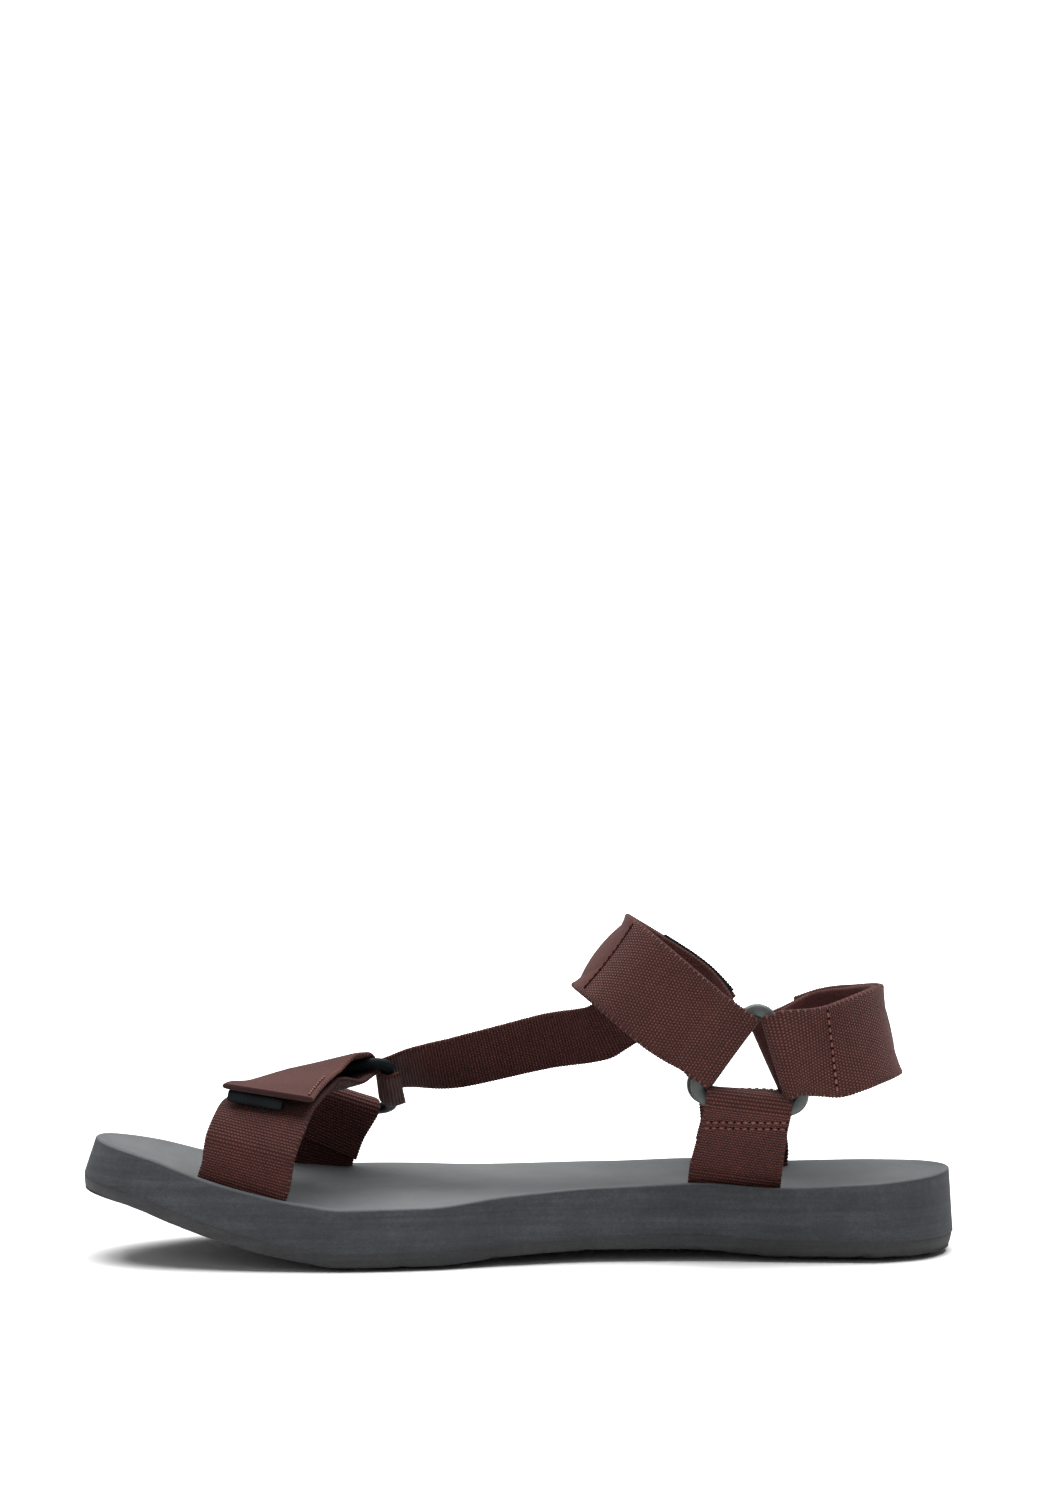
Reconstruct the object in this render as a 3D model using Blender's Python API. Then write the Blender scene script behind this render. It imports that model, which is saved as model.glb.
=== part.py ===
# Strapped sports sandal, right foot, standing on its sole.
# Lengths are in millimetres and angles in degrees. Meshes are made in metres.
# The toe points to -X, the inner (medial) side faces -Y, and the ground is at z = 0.

import math

import bmesh
import bpy
from mathutils import Matrix, Vector

MM = 0.001

# Sole
SOLE_LENGTH = 285.0
SOLE_WIDTH = 104.0
TOE_SPRING = 22.6
HEEL_STACK = 25.5
EDGE_LIFT = 2.3
OUTSOLE_THICKNESS = 4.6
CENTRE_SHIFT = -0.5
GLUE_GAP = 0.4
WALL_TAPER = 1.2
WALL_BEVEL = 1.0
HEEL_DISH = 4.0
FOREFOOT_DISH = 1.6
TREAD_PITCH = 11.0
TREAD_GROOVE = 3.4
TREAD_DEPTH = 1.7
TREAD_WAVE = 4.0

# Webbing
WEBBING_WIDTH = 30.0
WEBBING_THICKNESS = 1.8
SIDE_STRAP_WIDTH = 20.0
SIDE_STRAP_THICKNESS = 1.6
LAYER_GAP = 0.4
WRAP_GAP = 0.7
RING_SQUEEZE = 6.8
LEAD_REACH = 7.0
LEAD_SHARE = 0.9
LEAD_TWIST = 0.05
LEAST_ADVANCE = 2.5
TOE_LEAD_OFFSET = 4.6
ANCHOR_LEAD_OFFSET = 2.0
LAYER_REACH = 9.0
SAMPLE_STEP = 6.0

# Slots that hold the strap ends
SLOT_DEPTH = 8.0
SLOT_INSET = 4.4
SLOT_GAP = 0.3

# Rings
RING_SIDE = 40.5
RING_CORNER = 4.6
RING_BAR_WIDTH = 4.4
RING_BAR_THICKNESS = 3.4

# Heights of the straps over the ground
TOE_STRAP_HEIGHT = 57.0
ANKLE_RING_HEIGHT = 51.7
RING_DROP = 8.0
INSTEP_HEIGHT = 98.5
HEEL_STRAP_HEIGHT = 72.5
TAIL_LENGTH = 18.0
FLAP_END_REACH = 45.0
FLAP_END_RISE = 5.0
INSTEP_FLAP_SHORT = 12.0
HEEL_FLAP_SHORT = 16.0
ANCHOR_TAIL = 16.0
ANCHOR_STEP = 4.0
SIDE_STRAP_TAIL = 12.0

# End bar of the toe strap
END_BAR_LENGTH = 18.0
END_BAR_HEIGHT = 4.0
END_BAR_DEPTH = 3.2
END_BAR_SHIFT = 4.0
END_BAR_ROUNDING = 0.8

HALF_LENGTH = SOLE_LENGTH / 2
HALF_WIDTH = SOLE_WIDTH / 2
RINGED_WIDTH = WEBBING_WIDTH - RING_SQUEEZE
LAYER_STEP = WEBBING_THICKNESS + LAYER_GAP

# Outline from above: station along the sole from the toe, then the two edges as shares of half the width.
OUTLINE_ROWS = [
    # station, medial, lateral
    (0.00, -0.27, -0.27),
    (0.02, -0.60, 0.12),
    (0.05, -0.75, 0.33),
    (0.10, -0.87, 0.54),
    (0.15, -0.93, 0.68),
    (0.20, -0.97, 0.79),
    (0.30, -1.00, 0.94),
    (0.40, -0.92, 1.00),
    (0.50, -0.72, 0.95),
    (0.60, -0.58, 0.85),
    (0.70, -0.56, 0.76),
    (0.80, -0.61, 0.72),
    (0.90, -0.63, 0.66),
    (0.94, -0.56, 0.57),
    (0.97, -0.44, 0.45),
    (0.99, -0.26, 0.27),
    (1.00, 0.00, 0.00),
]

# Side view: height under the sole as a share of TOE_SPRING, lift of its lower edge as a share of EDGE_LIFT,
# height of both side walls as shares of HEEL_STACK.
PROFILE_ROWS = [
    # station, underside, edge lift, medial wall, lateral wall
    (0.00, 1.02, 0.00, 0.66, 0.60),
    (0.06, 0.85, 0.10, 0.65, 0.58),
    (0.12, 0.57, 0.20, 0.66, 0.61),
    (0.18, 0.32, 0.30, 0.69, 0.72),
    (0.24, 0.12, 0.50, 0.71, 0.78),
    (0.30, 0.00, 0.60, 0.73, 0.81),
    (0.40, 0.00, 0.60, 0.735, 0.79),
    (0.50, 0.085, 0.60, 0.765, 0.73),
    (0.60, 0.12, 0.65, 0.79, 0.75),
    (0.70, 0.10, 0.90, 0.83, 0.81),
    (0.80, 0.00, 1.10, 0.85, 0.85),
    (0.90, 0.00, 1.00, 0.92, 0.90),
    (1.00, 0.00, 0.90, 1.00, 0.96),
]

# Rings: place of the first bar's centre as shares of half length, half width and the ring's own height,
# then the turns of the ring. Roll leans the far corner back, tilt leans it inward, turn is upright.
RING_ROWS = {
    # name: (x, y, height, roll, tilt, turn)
    "ankle_ring_medial": (0.517, -0.66, ANKLE_RING_HEIGHT, 6.5, 4.0, 0.0),
    "ankle_ring_lateral": (0.525, 0.74, ANKLE_RING_HEIGHT - RING_DROP, 6.5, 4.0, 0.0),
}

# Toe ring: its first bar is the rear one, and its plane slopes down to the outer side.
TOE_RING_X = -0.302
TOE_RING_Y = 0.56
TOE_RING_SHARE = 0.88
TOE_RING_SLOPE = 33.0
TOE_RING_TURN = 0.0

# Places of the slots along the sole and the lean of the straps that leave them.
TOE_SLOT_STATION = 0.157
TOE_ANCHOR_STATION = 0.227
REAR_ANCHOR_STATION_MEDIAL = 0.744
REAR_ANCHOR_STATION_LATERAL = 0.765

# Middle line of the toe strap between its slot and the toe ring.
TOE_STRAP_ROWS = [
    # x of half length, y of half width, z of TOE_STRAP_HEIGHT, yaw and pitch of the width
    (-0.603, -0.870, 0.68, -7.0, -12.0),
    (-0.582, -0.780, 0.82, -6.0, -8.0),
    (-0.566, -0.620, 0.895, -4.0, -3.0),
    (-0.538, -0.350, 0.935, 0.0, 3.0),
    (-0.505, 0.000, 0.940, 6.0, 6.0),
]

# The toe strap's flap, from the toe ring back over the lower layer to its free end on the end bar.
TOE_FLAP_ROWS = [
    # x of half length, y of half width, z of TOE_STRAP_HEIGHT, yaw and pitch of the width
    (-0.505, 0.000, 1.008, 6.0, 9.0),
    (-0.535, -0.350, 1.003, 0.0, 3.5),
    (-0.556, -0.600, 0.995, -4.0, -5.0),
    (-0.565, -0.760, 0.985, -6.0, -9.0),
]

# Middle line of the instep strap, from the outer ring to the inner one.
INSTEP_ROWS = [
    # x of half length, y of half width, z of INSTEP_HEIGHT, yaw and pitch of the width
    (0.385, 0.650, 0.785, 0.0, 50.0),
    (0.285, 0.560, 0.890, 0.0, 50.0),
    (0.225, 0.360, 0.950, 0.0, 51.0),
    (0.200, 0.000, 0.985, 0.0, 52.0),
    (0.210, -0.300, 0.985, 0.0, 52.0),
    (0.258, -0.500, 0.935, 0.0, 51.0),
    (0.350, -0.595, 0.825, 0.0, 50.0),
]

# Middle line of the heel strap, from the outer ring to the inner one.
HEEL_ROWS = [
    # x of half length, y of half width, z of HEEL_STRAP_HEIGHT, yaw and pitch of the width
    (0.720, 0.600, 0.925, 0.0, 107.0),
    (0.786, 0.460, 0.955, 0.0, 105.5),
    (0.827, 0.260, 0.980, 0.0, 104.0),
    (0.840, 0.000, 0.995, 0.0, 102.5),
    (0.827, -0.260, 1.005, 0.0, 103.0),
    (0.782, -0.450, 0.985, 0.0, 104.5),
    (0.710, -0.570, 0.945, 0.0, 106.0),
]

# Middle line of the side strap between the toe ring and its seam on the instep strap.
SIDE_ROWS = [
    # x of half length, y of half width, z of INSTEP_HEIGHT, yaw and pitch of the width
    (-0.160, 0.540, 0.587, -90.0, 54.0),
    (0.070, 0.540, 0.665, -90.0, 60.0),
    (0.190, 0.445, 0.700, -90.0, 68.0),
]
SIDE_SEAM_FROM_RING = 16.0
SIDE_SEAM_LENGTH = 20.0
SIDE_SEAM_STANDOFF = 8.0
SIDE_SEAM_GAPS = 2.5

MATERIALS = {
    # name: (colour, roughness, metallic)
    "foam": ((0.060, 0.064, 0.068), 0.75, 0.0),
    "rubber": ((0.040, 0.042, 0.044), 0.70, 0.0),
    "webbing": ((0.075, 0.030, 0.027), 0.85, 0.0),
    "grey_plastic": ((0.100, 0.125, 0.120), 0.40, 0.0),
    "black_plastic": ((0.015, 0.018, 0.020), 0.35, 0.0),
}

BOTTOM_COLUMNS = (-1.0, -0.86, -0.5, 0.0, 0.5, 0.86, 1.0)
FOOTBED_COLUMNS = (1.0, 0.9, 0.7, 0.4, 0.0, -0.4, -0.7, -0.9, -1.0)
MIDSOLE_STATIONS = 40
BAR_BELOW, BAR_FRONT, BAR_BEHIND = 0, 1, 2
TOE_BAR_REAR, TOE_BAR_LATERAL, TOE_BAR_MEDIAL = 0, 1, 2
END_SHARPNESS = 16
SIDE_SHARPNESS = 4
FLAT_SHARE = 0.1

# Degrees round a bar
QUARTER_TURN = 90
HALF_TURN = 180

# How sharp turns of a strap are shared out
RELAX_PASSES = 60
RELAX_SHARE = 0.3
RELAX_STEP = 0.5
TILT_REACH = 0.004
DISH_START = 0.35
DISH_BLEND = 0.4
WAVE_FADE = 0.1
CRISP_ANGLE = 35.0
MERGE_REACH = 0.01


def slope_between(rows, column, index):
    """Slope of a column at one row, level where the column turns, so that level stretches stay level."""
    if index in (0, len(rows) - 1):
        index = min(index, len(rows) - 2)
        return (rows[index + 1][column] - rows[index][column]) / (rows[index + 1][0] - rows[index][0])
    before = (rows[index][column] - rows[index - 1][column]) / (rows[index][0] - rows[index - 1][0])
    after = (rows[index + 1][column] - rows[index][column]) / (rows[index + 1][0] - rows[index][0])
    if before * after <= 0:
        return 0.0
    return 2 * before * after / (before + after)


def read_row(rows, column, place):
    """Value of a column between the rows of a table, by cubic pieces."""
    last = len(rows) - 2
    index = next((i for i in range(last) if place < rows[i + 1][0]), last)
    start, end = rows[index], rows[index + 1]
    span = end[0] - start[0]
    t = (place - start[0]) / span
    rise = (
        (2 * t**3 - 3 * t**2 + 1) * start[column]
        + (3 * t**2 - 2 * t**3) * end[column]
        + (t**3 - 2 * t**2 + t) * span * slope_between(rows, column, index)
        + (t**3 - t**2) * span * slope_between(rows, column, index + 1)
    )
    return rise


def turn_of(station):
    """Angle whose cosine spacing gives the outline its round ends."""
    return math.acos(1 - 2 * min(max(station, 0.0), 1.0))


OUTLINE_TURNS = [(turn_of(station), medial, lateral) for station, medial, lateral in OUTLINE_ROWS]


def outline_edges(station):
    """The two edges of the sole at a station, in millimetres from the middle line."""
    turn = turn_of(station)
    return read_row(OUTLINE_TURNS, 1, turn) * HALF_WIDTH, read_row(OUTLINE_TURNS, 2, turn) * HALF_WIDTH


def underside(station):
    return read_row(PROFILE_ROWS, 1, station) * TOE_SPRING


def underside_tilt(station):
    """Slope of the sole's underside in the side view, as an angle."""
    low, high = max(station - TILT_REACH, 0.0), min(station + TILT_REACH, 1.0)
    return math.atan2(underside(high) - underside(low), (high - low) * SOLE_LENGTH)


def edge_share(station, across, sharper=1):
    """0 in the middle of the sole and 1 at its rim, all the way round."""
    along = 1 - 2 * station
    return 1 - (1 - abs(across) ** (SIDE_SHARPNESS * sharper)) * (1 - abs(along) ** (END_SHARPNESS * sharper))


def sole_point(station, across, height, inset):
    """A point of the sole: height is square to its underside, inset is measured in from the outline."""
    medial, lateral = outline_edges(station)
    room = min(inset, (lateral - medial) / 2)
    y = (medial + room) + (lateral - medial - 2 * room) * (across + 1) / 2
    x = (2 * station - 1) * (HALF_LENGTH - inset)
    tilt = underside_tilt(station)
    return Vector((x - height * math.sin(tilt), y, underside(station) + height * math.cos(tilt)))


def bottom_height(station, across):
    """Height of the underside's edge over its flat middle."""
    share = max(edge_share(station, across) - FLAT_SHARE, 0.0) / (1 - FLAT_SHARE)
    return read_row(PROFILE_ROWS, 2, station) * EDGE_LIFT * share


def rim_height(station, across):
    medial = read_row(PROFILE_ROWS, 3, station) * HEEL_STACK
    lateral = read_row(PROFILE_ROWS, 4, station) * HEEL_STACK
    share = (across + 1) / 2 * (1 - abs(1 - 2 * station) ** END_SHARPNESS)
    return bottom_height(station, 1.0) + medial + (lateral - medial) * share


def footbed_height(station, across):
    dish = FOREFOOT_DISH + (HEEL_DISH - FOREFOOT_DISH) * ease((station - DISH_START) / DISH_BLEND)
    return rim_height(station, across) - dish * (1 - edge_share(station, across))


def material(name):
    found = bpy.data.materials.get(name)
    if found:
        return found
    colour, roughness, metallic = MATERIALS[name]
    made = bpy.data.materials.new(name)
    made.use_nodes = True
    shader = made.node_tree.nodes["Principled BSDF"]
    shader.inputs["Base Color"].default_value = (*colour, 1.0)
    shader.inputs["Roughness"].default_value = roughness
    shader.inputs["Metallic"].default_value = metallic
    made.diffuse_color = (*colour, 1.0)
    return made


def add_object(name, data, slot, parent):
    made = bpy.data.objects.new(name, data)
    bpy.context.scene.collection.objects.link(made)
    if slot:
        data.materials.append(material(slot))
    made.parent = parent
    return made


def loft(name, rings):
    """A closed mesh through rings of points, all with the same count, capped at both ends."""
    shape = bmesh.new()
    loops = [[shape.verts.new(point * MM) for point in ring] for ring in rings]
    count = len(loops[0])
    for this, following in zip(loops, loops[1:]):
        for i in range(count):
            j = (i + 1) % count
            shape.faces.new((this[i], this[j], following[j], following[i]))
    shape.faces.new(list(reversed(loops[0])))
    shape.faces.new(loops[-1])
    bmesh.ops.remove_doubles(shape, verts=shape.verts, dist=MERGE_REACH * MM)
    bmesh.ops.dissolve_degenerate(shape, edges=shape.edges, dist=MERGE_REACH * MM / 10)
    return finished_mesh(name, shape)


def finished_mesh(name, shape):
    """Turns a closed shape's faces outward and shades it smooth, with its edges kept crisp."""
    if shape.calc_volume(signed=True) < 0:
        bmesh.ops.reverse_faces(shape, faces=shape.faces)
    mesh = bpy.data.meshes.new(name)
    shape.to_mesh(mesh)
    shape.free()
    mesh.shade_smooth()
    mesh.set_sharp_from_angle(angle=math.radians(CRISP_ANGLE))
    return mesh


def even_stations(count):
    return [(1 - math.cos(math.pi * i / count)) / 2 for i in range(count + 1)]


def midsole_ring(station):
    """Section of the foam block: glue face, outer wall, bevelled rim, footbed, bevelled rim, inner wall."""
    glue = OUTSOLE_THICKNESS + GLUE_GAP
    ring = []
    for across in BOTTOM_COLUMNS:
        ring.append(sole_point(station, across, bottom_height(station, across) + glue, 0.0))
    top_edge = rim_height(station, 1.0)
    low_edge = bottom_height(station, 1.0) + glue
    ring.append(sole_point(station, 1.0, (low_edge + top_edge) / 2, WALL_TAPER / 2))
    ring.append(sole_point(station, 1.0, top_edge - WALL_BEVEL, WALL_TAPER))
    for across in FOOTBED_COLUMNS:
        height = footbed_height(station, across)
        ring.append(sole_point(station, across, height, WALL_TAPER + WALL_BEVEL))
    top_edge = rim_height(station, -1.0)
    ring.append(sole_point(station, -1.0, top_edge - WALL_BEVEL, WALL_TAPER))
    ring.append(sole_point(station, -1.0, (low_edge + top_edge) / 2, WALL_TAPER / 2))
    return ring


def waved(station, across):
    """Station of a tread line where it crosses the sole: the lines bow forward, less so near the ends."""
    room = min(station, 1 - station)
    bow = TREAD_WAVE / SOLE_LENGTH * math.cos(across * math.pi / 2)
    return station - bow * min(room / WAVE_FADE, 1.0)


def outsole_ring(station, groove):
    ring = []
    for across in BOTTOM_COLUMNS:
        place = waved(station, across)
        depth = 0.0 if abs(across) == 1 else groove
        height = bottom_height(place, across) + depth
        inset = WALL_TAPER * edge_share(place, across, 4)
        ring.append(sole_point(place, across, height, inset))
    for across in reversed(BOTTOM_COLUMNS):
        place = waved(station, across)
        ring.append(sole_point(place, across, bottom_height(place, across) + OUTSOLE_THICKNESS, 0.0))
    return ring


def tread_rings():
    """Sections of the outsole, in pairs at each side of a groove so that its walls are upright."""
    count = int((SOLE_LENGTH - TREAD_PITCH) // TREAD_PITCH)
    margin = (SOLE_LENGTH - count * TREAD_PITCH) / 2
    half_groove = TREAD_GROOVE / 2 / SOLE_LENGTH
    rings = [outsole_ring(0.0, 0.0), outsole_ring(margin / SOLE_LENGTH / 4, 0.0)]
    for line in range(count + 1):
        middle = (margin + line * TREAD_PITCH) / SOLE_LENGTH
        for place, groove in (
            (middle - half_groove, 0.0),
            (middle - half_groove, TREAD_DEPTH),
            (middle + half_groove, TREAD_DEPTH),
            (middle + half_groove, 0.0),
        ):
            rings.append(outsole_ring(place, groove))
    rings.append(outsole_ring(1 - margin / SOLE_LENGTH / 4, 0.0))
    rings.append(outsole_ring(1.0, 0.0))
    return rings


class Bar:
    """One straight side of a ring: centre, direction, the way out of the ring, and the ring's outer normal."""

    def __init__(self, centre, along, out, normal):
        self.centre = centre
        self.along = along
        self.out = out
        self.normal = normal


def ring_matrix(first_bar, along, up):
    """Placement of a ring whose first bar lies along local X and whose far corner is towards local Z."""
    side = up.cross(along).normalized()
    turned = Matrix((along.normalized(), side, along.cross(side).normalized())).transposed().to_4x4()
    return Matrix.Translation(first_bar) @ turned


def ankle_ring_matrix(name):
    x, y, height, roll, tilt, turn = RING_ROWS[name]
    place = Vector((x * HALF_LENGTH, y * HALF_WIDTH, height))
    inward = -math.copysign(1, y)
    spin = (
        Matrix.Rotation(math.radians(turn), 4, "Z")
        @ Matrix.Rotation(math.radians(-inward * tilt), 4, "X")
        @ Matrix.Rotation(math.radians(roll), 4, "Y")
    )
    return Matrix.Translation(place) @ spin


def toe_ring_matrix():
    slope = math.radians(TOE_RING_SLOPE)
    turn = math.radians(TOE_RING_TURN)
    place = Vector((TOE_RING_X * HALF_LENGTH, TOE_RING_Y * HALF_WIDTH, TOE_RING_SHARE * TOE_STRAP_HEIGHT))
    flat_along = Vector((math.sin(turn), -math.cos(turn), 0))
    along = flat_along * math.cos(slope) + Vector((0, 0, math.sin(slope)))
    forward = Vector((-math.cos(turn), -math.sin(turn), 0))
    return ring_matrix(place, along, forward)


def ring_bars(placed, outer, ends=((0, 1), (0, 2), (1, 2))):
    """The three bars of a placed ring, each between two of its corners, the third being the far corner."""
    height = RING_SIDE * math.sqrt(3) / 2
    corners = [Vector((-RING_SIDE / 2, 0, 0)), Vector((RING_SIDE / 2, 0, 0)), Vector((0, 0, height))]
    middle = sum(corners, Vector()) / 3
    bars = []
    for start, end in ends:
        centre = (corners[start] + corners[end]) / 2
        turned = placed.to_3x3()
        bars.append(
            Bar(
                placed @ centre,
                (turned @ (corners[end] - corners[start])).normalized(),
                (turned @ (centre - middle)).normalized(),
                (turned @ Vector((0, outer, 0))).normalized(),
            )
        )
    return bars


def ring_mesh(name):
    """Three straight sides and three round corners, with an oval bar that is flat in the ring's plane."""
    height = RING_SIDE * math.sqrt(3) / 2
    reach = RING_CORNER * math.sqrt(3)
    centres = [
        Vector((-RING_SIDE / 2 + reach, 0, RING_CORNER)),
        Vector((RING_SIDE / 2 - reach, 0, RING_CORNER)),
        Vector((0, 0, height - 2 * RING_CORNER)),
    ]
    corner_steps = 5
    sides = 8
    shape = bmesh.new()
    loops = []
    for corner, centre in enumerate(centres):
        first = math.radians(150 + 120 * corner)
        for step in range(corner_steps + 1):
            angle = first + math.radians(120) * step / corner_steps
            out = Vector((math.cos(angle), 0, math.sin(angle)))
            loop = []
            for side in range(sides):
                around = 2 * math.pi * (side + 0.5) / sides
                flat = RING_CORNER + RING_BAR_WIDTH / 2 * math.cos(around)
                deep = RING_BAR_THICKNESS / 2 * math.sin(around)
                loop.append(shape.verts.new((centre + out * flat + Vector((0, deep, 0))) * MM))
            loops.append(loop)
    for this, following in zip(loops, loops[1:] + loops[:1]):
        for side in range(sides):
            beside = (side + 1) % sides
            shape.faces.new((this[side], this[beside], following[beside], following[side]))
    return finished_mesh(name, shape)


def width_way(yaw, pitch):
    yaw, pitch = math.radians(yaw), math.radians(pitch)
    return Vector((math.cos(pitch) * math.cos(yaw), math.cos(pitch) * math.sin(yaw), math.sin(pitch)))


def table_sections(rows, height, width):
    """Sections (place, way of the width, width) of a strap from its table."""
    return [
        (Vector((x * HALF_LENGTH, y * HALF_WIDTH, z * height)), width_way(yaw, pitch), width)
        for x, y, z, yaw, pitch in rows
    ]


def smooth_sections(sections, step):
    """More sections between the given ones, on a cubic through them by distance."""
    travelled = [0.0]
    for this, following in zip(sections, sections[1:]):
        travelled.append(travelled[-1] + (following[0] - this[0]).length)
    flat = [(place, *spot, *wide, width) for place, (spot, wide, width) in zip(travelled, sections)]

    def slope(index, column):
        low, high = max(index - 1, 0), min(index + 1, len(flat) - 1)
        return (flat[high][column] - flat[low][column]) / (flat[high][0] - flat[low][0])

    made = []
    for index in range(len(flat) - 1):
        start, end = flat[index], flat[index + 1]
        span = end[0] - start[0]
        count = max(1, round(span / step))
        for part in range(count):
            t = part / count
            row = [
                (2 * t**3 - 3 * t**2 + 1) * start[c]
                + (3 * t**2 - 2 * t**3) * end[c]
                + (t**3 - 2 * t**2 + t) * span * slope(index, c)
                + (t**3 - t**2) * span * slope(index + 1, c)
                for c in range(1, 8)
            ]
            made.append((Vector(row[0:3]), Vector(row[3:6]), row[6]))
    made.append(sections[-1])
    return made


def squared(sections):
    """Sections with the width square to the strap's run, and the face's normal beside it."""
    made = []
    for index, (spot, wide, width) in enumerate(sections):
        before = sections[max(index - 1, 0)][0]
        after = sections[min(index + 1, len(sections) - 1)][0]
        run = (after - before).normalized()
        across = (wide - run * wide.dot(run)).normalized()
        made.append((spot, across, width, run.cross(across)))
    return made


def relaxed(rows):
    """Squared sections whose edges never run back: neighbours share a sharp turn of the width."""
    rows = list(rows)
    for _ in range(RELAX_PASSES):
        for index in range(len(rows) - 1):
            (spot, across, width, normal), (after, wide, other_width, other_normal) = rows[index : index + 2]
            run = after - spot
            turn = (wide * other_width - across * width) / 2
            if run.length - abs(turn.dot(run.normalized())) < RELAX_SHARE * run.length:
                mean = (across + wide) / 2
                rows[index] = (spot, *turned_width(across.lerp(mean, RELAX_STEP), width, normal))
                eased = wide.lerp(mean, RELAX_STEP)
                rows[index + 1] = (after, *turned_width(eased, other_width, other_normal))
    return rows


def turned_width(across, width, normal):
    across = across.normalized()
    return across, width, (normal - across * normal.dot(across)).normalized()


def strap_mesh(name, sections, thickness):
    rings = []
    for spot, across, width, normal in relaxed(squared(sections)):
        half, deep = across * width / 2, normal * thickness / 2
        rings.append([spot - half - deep, spot + half - deep, spot + half + deep, spot - half + deep])
    return loft(name, rings)


class Fold:
    """How a strap goes round a bar, which depends on the way it comes from."""

    def __init__(self, bar, target, thickness, width):
        way = target[0] - bar.centre
        self.bar = bar
        self.target = target
        self.clear = WRAP_GAP + thickness / 2
        self.width = width
        self.angle = math.atan2(way.dot(bar.normal), way.dot(bar.out))
        self.out = bar.out * math.cos(self.angle) + bar.normal * math.sin(self.angle)
        self.normal = bar.normal * math.cos(self.angle) - bar.out * math.sin(self.angle)
        self.slip = way.dot(bar.along) / way.dot(self.out)

    def around(self, degrees):
        """A section beside the bar, by its angle from the way the strap comes from."""
        angle = self.angle + math.radians(degrees)
        flat = (RING_BAR_WIDTH / 2 + self.clear) * math.cos(angle)
        deep = (RING_BAR_THICKNESS / 2 + self.clear) * math.sin(angle)
        return (self.bar.centre + self.bar.out * flat + self.bar.normal * deep, self.bar.along, self.width)

    def wrap(self, from_side, steps=8):
        """Half a turn of webbing round the bar, through the ring, from one face of the ring to the other."""
        turns = [QUARTER_TURN + HALF_TURN * step / steps for step in range(steps + 1)]
        return [self.around(from_side * turn) for turn in turns]

    def lead(self, side, offset=None):
        """A section just off the bar on the way to the next one, where the layers still lie apart."""
        if offset is None:
            offset = (RING_BAR_THICKNESS / 2 + self.clear) * LEAD_SHARE
        away = (self.out + self.bar.along * self.slip) * LEAD_REACH
        spot = self.bar.centre + away + self.normal * side * offset
        return (spot, self.bar.along.lerp(self.target[1], LEAD_TWIST), self.width)

    def mirrored(self, spot):
        return spot - 2 * self.normal * (spot - self.bar.centre).dot(self.normal)

    def side_of(self, sections):
        """Side of the sections' own normals, 1 or -1, on which a second layer round the bar lies."""
        spot, _, _, normal = squared(sections)[0]
        return 1 if normal.dot(self.mirrored(spot) - spot) > 0 else -1


def ease(share):
    share = min(max(share, 0.0), 1.0)
    return share * share * (3 - 2 * share)


def layer_over(sections, fold, last_gap=LAYER_STEP):
    """A second layer of sections that start at a bar: mirrored near it, then close to the first layer."""
    outer_side = fold.side_of(sections)
    near = LEAD_REACH * math.hypot(1, fold.slip) + WEBBING_THICKNESS
    total = sum((b[0] - a[0]).length for a, b in zip(sections, sections[1:]))
    made = []
    travelled = 0.0
    opened = 0.0
    first_gap = LAYER_STEP
    widest = 0.0
    previous = sections[0][0]
    for spot, across, width, normal in squared(sections):
        run = spot - previous
        travelled += run.length
        previous = spot
        widest = max(widest, width)
        if (spot - fold.bar.centre).length < near:
            place = fold.mirrored(spot)
            first_gap = (place - spot).length
            opened = travelled
        else:
            gap = first_gap + (LAYER_STEP - first_gap) * ease((travelled - opened) / LAYER_REACH)
            gap += (last_gap - LAYER_STEP) * ease((travelled - total + FLAP_END_REACH) / FLAP_END_REACH)
            place = spot + normal * outer_side * gap
        if not made or (place - made[-1][0]).dot(run.normalized()) > LEAST_ADVANCE:
            made.append((place, across, widest))
    return made


def cut_length(sections, length):
    """The first stretch of the sections, up to a length."""
    made = [sections[0]]
    travelled = 0.0
    for this, following in zip(sections, sections[1:]):
        piece = (following[0] - this[0]).length
        if travelled + piece >= length:
            share = (length - travelled) / piece
            spot = this[0].lerp(following[0], share)
            if length - travelled < LEAST_ADVANCE and len(made) > 1:
                made.pop()
            made.append((spot, this[1].lerp(following[1], share), following[2]))
            return made
        travelled += piece
        made.append(following)
    return made


def slot_sections(station, side):
    """The strap end in the sole, from the bottom of its slot to just above the rim, square to the sole."""
    near = WEBBING_WIDTH / 2 / SOLE_LENGTH
    inset = SLOT_INSET + WEBBING_THICKNESS / 2
    rim = rim_height(station, side)
    ends = [sole_point(station + d, side, rim_height(station + d, side), inset) for d in (-near, near)]
    wide = (ends[1] - ends[0]).normalized()
    return [
        (sole_point(station, side, rim + rise, inset), wide, WEBBING_WIDTH)
        for rise in (-SLOT_DEPTH, -SLOT_DEPTH / 2, 0.0, SLOT_DEPTH / 4, SLOT_DEPTH / 2)
    ]


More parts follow.
